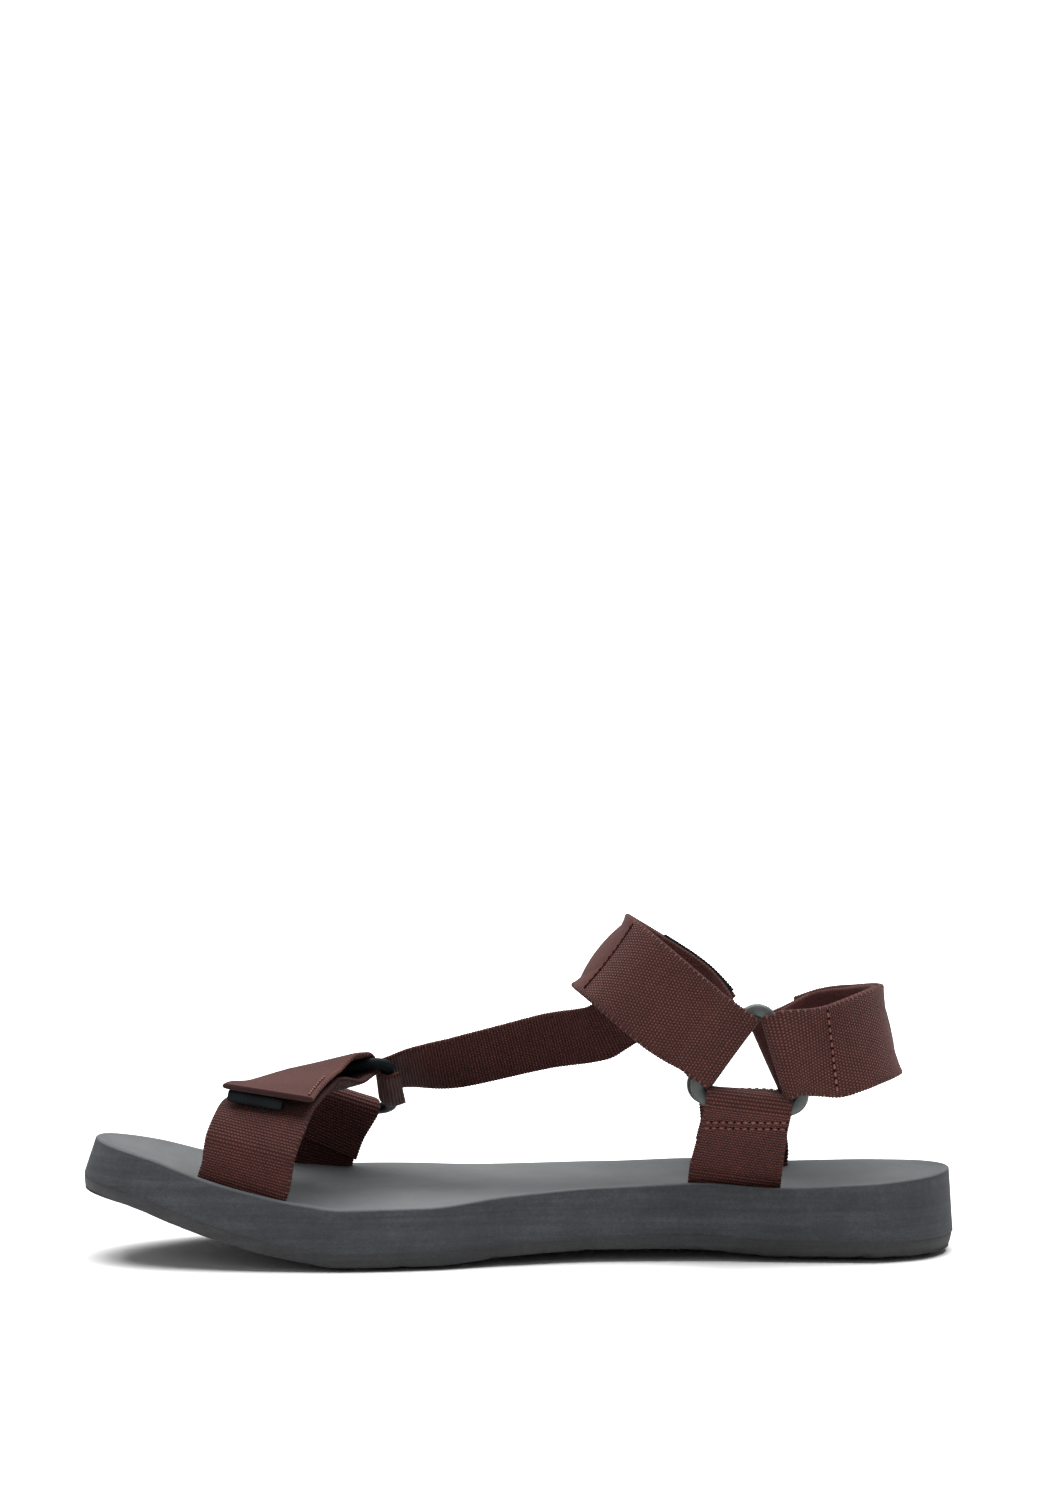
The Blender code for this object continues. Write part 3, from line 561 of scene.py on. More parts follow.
# the strap end in the sole, from the bottom of its slot to just above the rim, square to the sole
def slotSections(station, side):
    near = webbing["width"] / 2 / sole["length"]
    inset = slot["inset"] + webbing["thickness"] / 2
    rim = rimHeight(station, side)
    ends = [solePoint(station + d, side, rimHeight(station + d, side), inset) for d in (-near, near)]
    wide = (ends[1] - ends[0]).normalized()
    return [
        (solePoint(station, side, rim + rise, inset), wide, webbing["width"])
        for rise in (-slot["depth"], -slot["depth"] / 2, 0.0, slot["depth"] / 4, slot["depth"] / 2)
    ]


# doubled webbing: out of the slot, up the outer face, round the bar and down the inner face
def anchorSections(station, side, bar):
    base = slotSections(station, side)
    fold = Fold(bar, base[-1], webbing["thickness"], ringedWidth)
    ending = [fold.lead(1, anchor["leadOffset"]), fold.around(quarterTurn)]
    outer = smoothSections(base + ending, anchor["step"])
    inner = cutLength(layerOver(list(reversed(outer)), fold), anchor["tail"])
    return outer[:-1] + fold.wrap(1) + inner[1:]


# an ankle strap: tail sewn round the outer ring, over the foot, through the inner ring, and back as a flap;
# with it come its middle run and the side of that run on which the second layer lies
def ringStrapSections(strap, startBar, endBar):
    middle = tableSections(strap["rows"], strap["height"], webbing["width"])
    first = Fold(startBar, middle[0], webbing["thickness"], ringedWidth)
    last = Fold(endBar, middle[-1], webbing["thickness"], ringedWidth)
    starting = [first.around(-quarterTurn), first.lead(-1)]
    ending = [last.lead(-1), last.around(-quarterTurn)]
    base = smoothSections(starting + middle + ending, webbing["step"])
    tail = cutLength(layerOver(base, first), ankle["tailLength"])
    back = layerOver(list(reversed(base)), last, 2 * layerStep + ankle["flapEndRise"])
    flap = cutLength(back, runLength(back) - strap["flapShort"])
    sections = list(reversed(tail))[:-1] + first.wrap(1) + base[1:-1] + last.wrap(-1) + flap[1:]
    return sections, base, first.sideOf(base)


# forefoot webbing: slot, over the toes, through the toe ring, and back as a flap over the end bar
def toeStrapSections(bar):
    base = slotSections(toeStrap["slotStation"], -1.0)
    middle = tableSections(toeStrap["rows"], toeStrap["height"], webbing["width"])
    top = tableSections(toeStrap["flapRows"], toeStrap["height"], webbing["width"])
    fold = Fold(bar, middle[-1], webbing["thickness"], ringedWidth)
    ending = [fold.lead(-1, toeStrap["leadOffset"]), fold.around(-quarterTurn)]
    starting = [fold.around(quarterTurn), fold.lead(1, toeStrap["leadOffset"])]
    lower = smoothSections(base + middle + ending, webbing["step"])
    flap = smoothSections(starting + top, webbing["step"])
    return lower[:-1] + fold.wrap(-1) + flap[1:], flap


# narrow webbing: tail sewn round the toe ring's rear bar, along the outer side, seam on the instep strap
def sideStrapSections(bar, instepBase, outerSide):
    width, thickness = webbing["sideWidth"], webbing["sideThickness"]
    middle = tableSections(sideStrap["rows"], instep["height"], width)
    seam = squared(cutLength(instepBase, sideStrap["seamFromRing"]))[-1]
    clear = (webbing["thickness"] + thickness) / 2 + sideStrap["seamGaps"] * webbing["layerGap"]
    inner = -outerSide * seam[3]
    spot = seam[0] + inner * clear
    run = (Vector((1, 0, 0)) - inner * inner.x).normalized()
    up = run.cross(inner)
    if up.z < 0:
        up = -up
    ahead = spot - run * sideStrap["seamLength"] + inner * sideStrap["seamStandoff"]
    seamed = [(ahead, up, width), (spot, up, width)]
    raised = bar.centre + bar.along * math.copysign(sideStrap["loopRise"], bar.along.z)
    fold = Fold(Bar(raised, bar.along, bar.out, bar.normal), middle[0], thickness, sideStrap["loopWidth"])
    mainRun = smoothSections([fold.around(quarterTurn), fold.lead(1)] + middle + seamed, webbing["step"])
    tail = cutLength(layerOver(mainRun, fold), sideStrap["tail"])
    return list(reversed(tail))[:-1] + fold.wrap(-1) + mainRun[1:]


# from millimetres in the sole's own frame to the object's frame in metres
def placed(point):
    return (point + Vector((sole["centreShift"], 0, 0))) * mm


# a grid whose points are set by a rule, closed round one or both ways where it says so
def ruledGrid(shape, alongCount, aroundCount, pointAt, closedAlong=False, layers=None):
    bmesh.ops.create_grid(shape, x_segments=alongCount, y_segments=aroundCount, size=0.5)
    steps = {}
    for vert in shape.verts:
        steps[vert] = (round((vert.co.x + 0.5) * alongCount), round((vert.co.y + 0.5) * aroundCount))
    for name, valueAt in (layers or {}).items():
        layer = shape.loops.layers.uv.new(name)
        for face in shape.faces:
            for corner in face.loops:
                corner[layer].uv = valueAt(*steps[corner.vert])
    for vert, (i, j) in steps.items():
        vert.co = placed(pointAt(i % alongCount if closedAlong else i, j % aroundCount))
    bmesh.ops.remove_doubles(shape, verts=shape.verts, dist=mergeReach)


def closeEnds(shape):
    rims = [edge for edge in shape.edges if edge.is_boundary]
    if rims:
        bmesh.ops.edgeloop_fill(shape, edges=rims)


def finishPiece(shape, name, material, replaced=None):
    if shape.calc_volume(signed=True) < 0:
        bmesh.ops.reverse_faces(shape, faces=shape.faces)
    mesh = bpy.data.meshes.new(name)
    shape.to_mesh(mesh)
    shape.free()
    mesh.materials.append(material)
    mesh.shade_smooth()
    piece = bpy.data.objects.new(name, mesh)
    bpy.context.scene.collection.objects.link(piece)
    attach(piece, "root")
    if replaced:
        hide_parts(replaced)
    return piece


# webbing: a flat tube along its sections, with round selvedges that are notched by the ribs

weave = {
    "ribPitch": 1.0,
    "endPitch": 1.05,
    "notch": 0.12,
    "alongStep": 0.25,
    "columns": 14,
    "edgeSteps": 3,
    "edge": 0.501,  # place of the selvedge as a share of the width
    "edgeSwell": 0.9,
    "sway": 0.08,
    "swayScale": 0.09,
    "swayWide": 0.6,
    "fair": 6.0,
    "fairReach": 2.5,
}


# the way across, evened out along the strap so that its edges run fair
def evened(rows):
    reach = round(weave["fairReach"] * weave["fair"] / weave["alongStep"])
    steps = range(-reach, reach + 1)
    shares = [math.exp(-((step * weave["alongStep"] / weave["fair"]) ** 2) / 2) for step in steps]
    made = []
    for index, (spot, _, width, normal) in enumerate(rows):
        total = Vector((0, 0, 0))
        for step, share in zip(steps, shares):
            total += rows[min(max(index + step, 0), len(rows) - 1)][1] * share
        made.append((spot, *turnedWidth(total, width, normal)))
    return made


# a strap's fine rows: spot, way across, width, normal and length travelled
def strapRows(sections):
    rows = []
    travelled = 0.0
    previous = sections[0][0]
    coarse = [row[:3] for row in relaxed(squared(sections))]
    for spot, across, width, normal in evened(squared(smoothSections(coarse, weave["alongStep"]))):
        travelled += (spot - previous).length
        previous = spot
        rows.append((spot, across, width, normal, travelled))
    return rows


def unbrushed(spot, normal, deep):
    return 0.0


def noCrown(spot):
    return 0.0


def strapPiece(name, rows, thickness, material, crown=noCrown, finish=unbrushed, replaced=None):
    columns, edgeSteps = weave["columns"], weave["edgeSteps"]
    around = []
    for side in (1, -1):
        around += [(side * (column / columns - 0.5), side * 0.5) for column in range(columns + 1)]
        for step in range(1, edgeSteps + 1):
            angle = math.pi / 2 - math.pi * step / (edgeSteps + 1)
            around.append((side * weave["edge"], side * 0.5 * math.sin(angle)))
    count = len(around)

    def pointAt(i, j):
        spot, across, width, normal, travelled = rows[i]
        wide, deep = around[j]
        reach = width * wide
        swell = 1.0
        if abs(wide) >= 0.5:
            notch = weave["notch"] * math.sin(2 * math.pi * travelled / weave["ribPitch"])
            bulge = thickness / 2 * math.sqrt(max(0.0, 1 - (2 * deep) ** 2))
            reach = math.copysign(width / 2 - thickness / 2 + bulge + notch, wide)
            swell = weave["edgeSwell"]
        sway = weave["sway"] * noise.noise((spot + across * reach) * weave["swayScale"])
        lift = crown(spot) * (1 - (2 * wide) ** 2) + sway
        return spot + across * (reach + weave["swayWide"] * sway) + normal * (deep * thickness * swell + lift)

    def weaveAt(i, j):
        return (around[j % count][0] * rows[i][2], rows[i][4])

    def finishAt(i, j):
        return (finish(rows[i][0], rows[i][3], around[j % count][1]), 0.0)

    shape = bmesh.new()
    ruledGrid(shape, len(rows) - 1, count, pointAt, layers={"weave": weaveAt, "finish": finishAt})
    closeEnds(shape)
    return finishPiece(shape, name, material, replaced)


# colours and nodes

def linearColour(code):
    parts = [int(code[i : i + 2], 16) / 255 for i in (1, 3, 5)]
    return [part / 12.92 if part <= 0.04045 else ((part + 0.055) / 1.055) ** 2.4 for part in parts] + [1.0]


# sets inputs of a node: from a value, a node's first output in use, or a pair of a node and its output
def feed(tree, node, inputs):
    for key, value in inputs.items():
        if isinstance(value, bpy.types.Node):
            tree.links.new(next(output for output in value.outputs if output.enabled), node.inputs[key])
        elif isinstance(value, tuple) and isinstance(value[0], bpy.types.Node):
            tree.links.new(value[0].outputs[value[1]], node.inputs[key])
        else:
            node.inputs[key].default_value = value


def addNode(tree, kind, inputs=None, **settings):
    node = tree.nodes.new(kind)
    for setting, value in settings.items():
        setattr(node, setting, value)
    feed(tree, node, inputs or {})
    return node


def reckoned(tree, operation, *values):
    return addNode(tree, "ShaderNodeMath", dict(enumerate(values)), operation=operation)


def ranged(tree, value, start, end, low=0.0, high=1.0):
    ends = {"From Min": start, "From Max": end, "To Min": low, "To Max": high}
    return addNode(tree, "ShaderNodeMapRange", {"Value": value, **ends})


def clouded(tree, place, scale, detail=2.0, roughness=0.5, distortion=0.0):
    sizes = {"Scale": scale, "Detail": detail, "Roughness": roughness, "Distortion": distortion}
    return addNode(tree, "ShaderNodeTexNoise", {"Vector": place, **sizes})


def coloured(tree, value, stops):
    ramp = addNode(tree, "ShaderNodeValToRGB", {"Fac": value})
    band = ramp.color_ramp
    for element, (position, code) in zip(band.elements, (stops[0], stops[-1])):
        element.position, element.color = position, linearColour(code)
    for position, code in stops[1:-1]:
        band.elements.new(position).color = linearColour(code)
    return ramp


def bumped(tree, height, strength, distance):
    return addNode(tree, "ShaderNodeBump", {"Height": height, "Strength": strength, "Distance": distance})


# a new material, its tree, its shader and the place on the object as a node and its output
def newMaterial(name):
    material = bpy.data.materials.new(name)
    material.use_nodes = True
    tree = material.node_tree
    return material, tree, tree.nodes["Principled BSDF"], (addNode(tree, "ShaderNodeTexCoord"), "Object")


webbingGrain = {
    "pile": 2600.0,
    "brushed": (0.2, 0.8, 0.42, 0.72),
    "patches": {"scale": 70.0, "detail": 4.0, "roughness": 0.6},
    "strands": 900.0,
    "wear": (0.7, 1.3, 0.78, 1.24),
    "fuzz": 0.3,
    "bump": (0.9, 0.0004),
}


# nylon webbing: a ribbed tabby whose warp floats sit in brick order, with brushed stretches; its colour runs
# from painted shade in the weave's hollows to painted light on its floats and ribs, and the brushed stretches
# take the middle of that range
def webbingMaterial(name, ribShare, yarnAndWeaveShade):
    material, tree, shader, place = newMaterial(name)
    grain = webbingGrain
    parts, kinds = [
        addNode(tree, "ShaderNodeSeparateXYZ", {"Vector": addNode(tree, "ShaderNodeUVMap", uv_map=layer)})
        for layer in ("weave", "finish")
    ]
    across = reckoned(tree, "MULTIPLY", (parts, "X"), 2 * math.pi / weave["endPitch"])
    along = reckoned(tree, "MULTIPLY", (parts, "Y"), 2 * math.pi / weave["ribPitch"])
    floatWave = reckoned(tree, "SINE", reckoned(tree, "MULTIPLY", along, 0.5))
    floats = reckoned(tree, "MULTIPLY", reckoned(tree, "SINE", across), floatWave)
    ribs = reckoned(tree, "MULTIPLY", reckoned(tree, "COSINE", along), -ribShare)
    woven = ranged(tree, reckoned(tree, "ADD", floats, ribs), -1 - ribShare, 1 + ribShare)
    pile = clouded(tree, place, grain["pile"])
    brushed = ranged(tree, pile, *grain["brushed"])
    level = addNode(tree, "ShaderNodeMix", {"Factor": (kinds, "X"), "A": woven, "B": brushed})
    strands = clouded(tree, place, grain["strands"])
    wear = reckoned(tree, "ADD", clouded(tree, place, **grain["patches"]), strands)
    # the ramp paints shade into the weave's hollows and light onto its raised floats and ribs
    shade = {0: coloured(tree, level, yarnAndWeaveShade), "Scale": ranged(tree, wear, *grain["wear"])}
    relief = reckoned(tree, "ADD", level, reckoned(tree, "MULTIPLY", pile, grain["fuzz"]))
    looks = {
        "Base Color": addNode(tree, "ShaderNodeVectorMath", shade, operation="SCALE"),
        "Normal": bumped(tree, relief, *grain["bump"]),
        "Roughness": 0.85,
        "Sheen Weight": 0.03,
        "Sheen Roughness": 0.5,
        "Specular IOR Level": 0.25,
    }
    feed(tree, shader, looks)
    return material


foamGrain = {
    "cells": {"scale": 1100.0, "detail": 3.0, "roughness": 0.6, "distortion": 1.6},
    "clouds": {"scale": 42.0, "detail": 5.0, "roughness": 0.65},
    "streaks": {"scale": 1.0, "detail": 4.0, "roughness": 0.7},
    "streakScale": (16.0, 16.0, 420.0),
    "mottle": (1.2, 1.8),
    "skinAndLitTopSlope": (0.35, 0.7),
    "bump": (0.5, 0.0002),
}


# EVA foam, cut at the side and skinned on top: matt, with fine cells, worm-like marks and faint saw lines;
# faces that turn upwards take lighter tones, partly the skin's own colour and partly painted light from above
def foamMaterial(name, sideTones, skinAndLitTopTones, roughness):
    material, tree, shader, place = newMaterial(name)
    cells = clouded(tree, place, **foamGrain["cells"])
    clouds = clouded(tree, place, **foamGrain["clouds"])
    stretched = addNode(tree, "ShaderNodeMapping", {"Vector": place, "Scale": foamGrain["streakScale"]})
    grain = reckoned(tree, "ADD", cells, clouded(tree, stretched, **foamGrain["streaks"]))
    level = ranged(tree, reckoned(tree, "ADD", grain, clouds), *foamGrain["mottle"])
    soft = reckoned(tree, "MULTIPLY", reckoned(tree, "ADD", clouds, level), 0.5)
    facing = addNode(tree, "ShaderNodeNewGeometry")
    upward = addNode(tree, "ShaderNodeSeparateXYZ", {"Vector": (facing, "True Normal")})
    # upward faces get the lighter top tones: partly the skin's own colour, partly painted light from above
    tones = {
        "Factor": ranged(tree, (upward, "Z"), *foamGrain["skinAndLitTopSlope"]),
        "A": coloured(tree, level, sideTones),
        "B": coloured(tree, soft, skinAndLitTopTones),
    }
    looks = {
        "Base Color": addNode(tree, "ShaderNodeMix", tones, data_type="RGBA"),
        "Normal": bumped(tree, grain, *foamGrain["bump"]),
        "Roughness": roughness,
        "Specular IOR Level": 0.35,
    }
    feed(tree, shader, looks)
    return material


plasticGrain = {"peel": 700.0, "tint": 120.0, "bump": (0.25, 0.0001)}


# moulded nylon: satin, with a faint orange peel
def plasticMaterial(name, dark, light, roughness, shine):
    material, tree, shader, place = newMaterial(name)
    tint = clouded(tree, place, plasticGrain["tint"])
    looks = {
        "Base Color": coloured(tree, tint, [(0.3, dark), (0.7, light)]),
        "Normal": bumped(tree, clouded(tree, place, plasticGrain["peel"]), *plasticGrain["bump"]),
        "Roughness": roughness,
        "Specular IOR Level": shine,
    }
    feed(tree, shader, looks)
    return material


# each ramp runs from painted shade in the weave's hollows, through the yarn's own brown, to painted light on
# its crests
brownWebbing = webbingMaterial(
    "wovenNylonWebbing", 0.5, [(0.0, "#1b0807"), (0.35, "#321614"), (0.65, "#4b2622"), (1.0, "#70453b")]
)
ribbedWebbing = webbingMaterial(
    "ribbedNylonWebbing", 1.3, [(0.0, "#1b0807"), (0.35, "#301412"), (0.65, "#47211c"), (1.0, "#673c34")]
)
# the second tone list of each is for upward faces: lighter partly by the skin's own colour and partly as
# painted top light
greyFoam = foamMaterial(
    "skivedEvaFoam",
    [(0.0, "#2e2f32"), (0.5, "#36383b"), (1.0, "#424448")],
    [(0.2, "#4c4e50"), (0.8, "#57595a")],
    roughness=0.85,
)
greyRubber = foamMaterial(
    "mouldedRubberSole",
    [(0.0, "#262628"), (0.5, "#2e2e30"), (1.0, "#38383a")],
    [(0.2, "#2e2e30"), (0.8, "#343436")],
    roughness=0.75,
)
greyNylon = plasticMaterial("mouldedGreyNylon", "#424846", "#4a504f", roughness=0.42, shine=0.4)
blackNylon = plasticMaterial("mouldedBlackNylon", "#0e1113", "#161a1c", roughness=0.5, shine=0.05)
brownThread = plasticMaterial("twistedBrownThread", "#5f3831", "#7a4d42", roughness=0.6, shine=0.3)
darkThread = plasticMaterial("twistedDarkThread", "#2c1411", "#3c1d1a", roughness=0.9, shine=0.0)
# painted shade for the needle holes between stitches
needleShade = plasticMaterial("shadedNeedleHoles", "#170907", "#220f0d", roughness=0.9, shine=0.0)
greenTape = plasticMaterial("wovenHookTape", "#1a1f1d", "#262c29", roughness=0.7, shine=0.2)
print("materials made")


# sole

midsoleLook = {"along": 300, "bottom": 10, "wall": 10, "bevel": 4, "bed": 24}
outsoleLook = {
    "bottom": 40,
    "wall": 4,
    "top": 10,
    "ends": 6,
    "swell": 0.15,
    "nick": 0.7,
    "nickPitch": 6.0,
    "nickGain": 2.0,
    "nickLeast": 0.3,
    "nickStart": 0.9,
    "grooveEnd": 0.86,
    "rimBlend": 0.08,
    # place beside a groove's middle as a share of the pitch, and how deep the groove is there
    "groove": [
        (-0.48, 0.0),
        (-0.34, 0.0),
        (-0.22, 0.0),
        (-0.155, 0.0),
        (-0.145, 0.85),
        (-0.12, 1.0),
        (0.12, 1.0),
        (0.145, 0.85),
        (0.155, 0.0),
        (0.22, 0.0),
        (0.34, 0.0),
    ],
}


# places on one side of the sole's section, with or without the first and last
def sideOfSection(kind, count, start, end, leftOut=0):
    return [(kind, start + (end - start) * k / count) for k in range(leftOut, count + 1 - leftOut)]


midsoleRound = (
    sideOfSection("bottom", midsoleLook["bottom"], -1, 1)
    + sideOfSection("wall", midsoleLook["wall"], 0, 1, 1)
    + sideOfSection("bevel", midsoleLook["bevel"], 0, 1)
    + sideOfSection("bed", midsoleLook["bed"], 1, -1, 1)
    + sideOfSection("bevelBack", midsoleLook["bevel"], 1, 0)
    + sideOfSection("wallBack", midsoleLook["wall"], 1, 0, 1)
)
outsoleRound = (
    sideOfSection("bottom", outsoleLook["bottom"], -1, 1)
    + sideOfSection("wall", outsoleLook["wall"], 0, 1, 1)
    + sideOfSection("top", outsoleLook["top"], 1, -1)
    + sideOfSection("wallBack", outsoleLook["wall"], 1, 0, 1)
)


def midsolePoint(i, j):
    station = (1 - math.cos(math.pi * i / midsoleLook["along"])) / 2
    kind, share = midsoleRound[j]
    glue = sole["outsoleThickness"] + sole["glueGap"]
    side = -1.0 if kind.endswith("Back") else 1.0
    if kind == "bottom":
        return solePoint(station, share, bottomHeight(station, share) + glue, 0.0)
    if kind == "bed":
        return solePoint(station, share, footbedHeight(station, share), sole["wallTaper"] + sole["wallBevel"])
    top = rimHeight(station, side)
    low = bottomHeight(station, 1.0) + glue
    if kind.startswith("wall"):
        low += (top - sole["wallBevel"] - low) * share
        return solePoint(station, side, low, sole["wallTaper"] * share)
    turn = math.pi / 2 * share
    inset = sole["wallTaper"] + sole["wallBevel"] * (1 - math.cos(turn))
    return solePoint(station, side, top - sole["wallBevel"] * (1 - math.sin(turn)), inset)


shape = bmesh.new()
ruledGrid(shape, midsoleLook["along"], len(midsoleRound), midsolePoint)
finishPiece(shape, "midsoleFoam", greyFoam, "midsole")


# stations of the outsole: close pairs at each side of a groove, so that the grooves' walls are upright
def outsoleStations():
    length, pitch, ends = sole["length"], tread["pitch"], outsoleLook["ends"]
    count = int((length - pitch) // pitch)
    margin = (length - count * pitch) / 2
    rows = [(k / ends * (margin - pitch / 2) / length, 0.0) for k in range(ends)]
    for line in range(count + 1):
        middle = margin + line * pitch
        rows += [((middle + offset * pitch) / length, cut) for offset, cut in outsoleLook["groove"]]
    last = margin + count * pitch + pitch / 2
    rows += [(1 - (1 - k / ends) * (1 - last / length), 0.0) for k in range(ends + 1)]
    return rows


outsoleRows = outsoleStations()


def outsolePoint(i, j):
    look = outsoleLook
    line, cut = outsoleRows[i]
    kind, share = outsoleRound[j]
    across = share if kind in ("bottom", "top") else (-1.0 if kind == "wallBack" else 1.0)
    station = waved(line, across)
    low = bottomHeight(station, across)
    inset = sole["wallTaper"] * edgeShare(station, across, sharper=4)
    if kind == "bottom":
        # the grooves run out before the rim, and the rim is a little ragged where it was trimmed
        inner = 1 - ease((abs(across) - look["grooveEnd"]) / look["rimBlend"])
        chance = noise.noise(Vector((station * sole["length"] / look["nickPitch"], across, 0.0)))
        ragged = max(0.0, chance * look["nickGain"] - look["nickLeast"])
        nick = look["nick"] * ragged * ease((abs(across) - look["nickStart"]) / look["rimBlend"])
        return solePoint(station, across, low + tread["depth"] * cut * inner + nick, inset)
    if kind == "top":
        return solePoint(station, across, low + sole["outsoleThickness"], 0.0)
    swell = look["swell"] * math.sin(math.pi * share)
    return solePoint(station, across, low + sole["outsoleThickness"] * share, inset * (1 - share) - swell)


shape = bmesh.new()
ruledGrid(shape, len(outsoleRows) - 1, len(outsoleRound), outsolePoint)
closeEnds(shape)
finishPiece(shape, "outsoleRubber", greyRubber, "outsole")
print("sole made")


# rings

ringLook = {
    "sides": 20,
    "cornerSteps": 12,
    "cornerStarts": (150, 270, 30),
    "cornerTurn": 120,
    "fullness": 0.8,
}


# a place on a rounded square section, as shares of half its width and depth
def roundedSquare(turn, fullness):
    wide, deep = math.cos(2 * math.pi * turn), math.sin(2 * math.pi * turn)
    return math.copysign(abs(wide) ** fullness, wide), math.copysign(abs(deep) ** fullness, deep)


def ringPiece(name, placement, material):
    height = ring["side"] * math.sqrt(3) / 2
    reach = ring["corner"] * math.sqrt(3)
    centres = [
        Vector((-ring["side"] / 2 + reach, 0, ring["corner"])),
        Vector((ring["side"] / 2 - reach, 0, ring["corner"])),
        Vector((0, 0, height - 2 * ring["corner"])),
    ]
    spine = []
    for centre, start in zip(centres, ringLook["cornerStarts"]):
        for step in range(ringLook["cornerSteps"] + 1):
            angle = math.radians(start + ringLook["cornerTurn"] * step / ringLook["cornerSteps"])
            spine.append((centre, Vector((math.cos(angle), 0, math.sin(angle)))))

    def pointAt(i, j):
        centre, out = spine[i]
        wide, deep = roundedSquare(j / ringLook["sides"], ringLook["fullness"])
        flat = out * (ring["corner"] + wide * ring["barWidth"] / 2)
        return placement @ (centre + flat + Vector((0, deep * ring["barThickness"] / 2, 0)))

    shape = bmesh.new()
    ruledGrid(shape, len(spine), ringLook["sides"], pointAt, closedAlong=True)
    return finishPiece(shape, name + "Moulding", material, name)


medialRing = ankleRingMatrix("ankle_ring_medial")
lateralRing = ankleRingMatrix("ankle_ring_lateral")
toeRingPlace = toeRingMatrix()
medialBelow, medialFront, medialBehind = ringBars(medialRing, -1)
lateralBelow, lateralFront, lateralBehind = ringBars(lateralRing, 1)
toeRear, toeLateral, toeMedial = ringBars(toeRingPlace, 1, ((0, 1), (2, 0), (2, 1)))
ringPiece("ankle_ring_medial", medialRing, greyNylon)
ringPiece("ankle_ring_lateral", lateralRing, greyNylon)
ringPiece("toe_ring", toeRingPlace, blackNylon)
print("rings made")


# straps

foot = {
    "instepCrown": 2.4,
    "instepSpread": 20,
    "instepTop": (28, 0, 97),
    "heelCrown": 1.5,
    "heelSpread": 18,
    "heelBack": (119, 0, 72),
}
outward = {
    "middle": 45,
    "rise": 0.6,
    "heelFrom": 100,
    "heelAway": 40,
    "instepFrom": 0,
    "instepTo": 60,
    "instepAbove": 70,
    "instepAway": -30,
}


# 1 on the side of a strap that faces away from the foot's middle line at that place, else -1
def outwardSide(spot, normal):
    away = Vector((0, spot.y, (spot.z - outward["middle"]) * outward["rise"]))
    if spot.x > outward["heelFrom"]:
        away.x = outward["heelAway"]
    if outward["instepFrom"] < spot.x < outward["instepTo"] and spot.z > outward["instepAbove"]:
        away.x = outward["instepAway"]
    return 1.0 if normal.dot(away) > 0 else -1.0


# how far the middle of a strap swells over the foot
def crownOver(rows, height, spread, place):
    row = min(rows, key=lambda row: (row[0] - Vector(place)).length)
    side = outwardSide(row[0], row[3])
    return lambda spot: height * math.exp(-((spot.y / spread) ** 2)) * side


# brushed on the inner face, and on the outer one where the smooth band lies over the foot
def ankleFinish(spot, normal, deep):
    if deep * outwardSide(spot, normal) <= 0:
        return ankle["brushed"]
    blend = ankle["smoothBlend"]
    return ease((spot.y - ankle["smoothFrom"]) / blend) * ease((ankle["smoothTo"] - spot.y) / blend)


anchorBars = {
    "rear_anchor_medial": medialBelow,
    "rear_anchor_lateral": lateralBelow,
    "toe_anchor_lateral": toeLateral,
}
strapRun = {}
for name, (station, side) in anchorPlaces.items():
    strapRun[name] = strapRows(anchorSections(station, side, anchorBars[name]))
    strapPiece(name + "Webbing", strapRun[name], webbing["thickness"], ribbedWebbing, replaced=name)
instepRun, instepBase, instepSide = ringStrapSections(instep, lateralFront, medialFront)
heelRun, _, _ = ringStrapSections(heel, lateralBehind, medialBehind)
toeRun, toeFlap = toeStrapSections(toeMedial)
sideRun = sideStrapSections(toeRear, instepBase, instepSide)
instepRows, heelRows, toeRows, sideRows = [strapRows(run) for run in (instepRun, heelRun, toeRun, sideRun)]
instepCrown = crownOver(instepRows, foot["instepCrown"], foot["instepSpread"], foot["instepTop"])
heelCrown = crownOver(heelRows, foot["heelCrown"], foot["heelSpread"], foot["heelBack"])
thickness = webbing["thickness"]
strapPiece("instepWebbing", instepRows, thickness, brownWebbing, instepCrown, ankleFinish, "instep_strap")
strapPiece("heelWebbing", heelRows, thickness, brownWebbing, heelCrown, ankleFinish, "heel_strap")
strapPiece("toeWebbing", toeRows, thickness, ribbedWebbing, replaced="toe_strap")
strapPiece("sideWebbing", sideRows, webbing["sideThickness"], ribbedWebbing, replaced="side_strap")

endBarLook = {"along": 144, "around": 24, "fullness": 0.75, "endSharpness": 9, "rib": 0.018, "ribPitch": 1.0}


# the moulded bar under the free end of the toe flap: rounded, finely ribbed, with domed ends
def endBarPiece():
    look = endBarLook
    spot, across, _, normal = squared(toeFlap)[-1]
    run = (spot - toeFlap[-2][0]).normalized()
    up = normal if normal.z > 0 else -normal
    drop = webbing["thickness"] / 2 + webbing["layerGap"] + endBar["height"] / 2
    centre = spot - up * drop - run * endBar["depth"] / 2 - across * endBar["shift"]
    ahead = up.cross(across)

    def pointAt(i, j):
        place = 2 * i / look["along"] - 1
        dome = (1 - abs(place) ** look["endSharpness"]) ** (1 / look["endSharpness"])
        rib = 1 + look["rib"] * math.cos(math.pi * place * endBar["length"] / look["ribPitch"])
        wide, deep = roundedSquare(j / look["around"], look["fullness"])
        return (
            centre
            + across * place * endBar["length"] / 2
            + ahead * wide * dome * rib * endBar["depth"] / 2
            + up * deep * dome * rib * endBar["height"] / 2
        )

    shape = bmesh.new()
    ruledGrid(shape, look["along"], look["around"], pointAt)
    return finishPiece(shape, "toeEndBarMoulding", blackNylon, "toe_strap_end_bar")


endBarPiece()


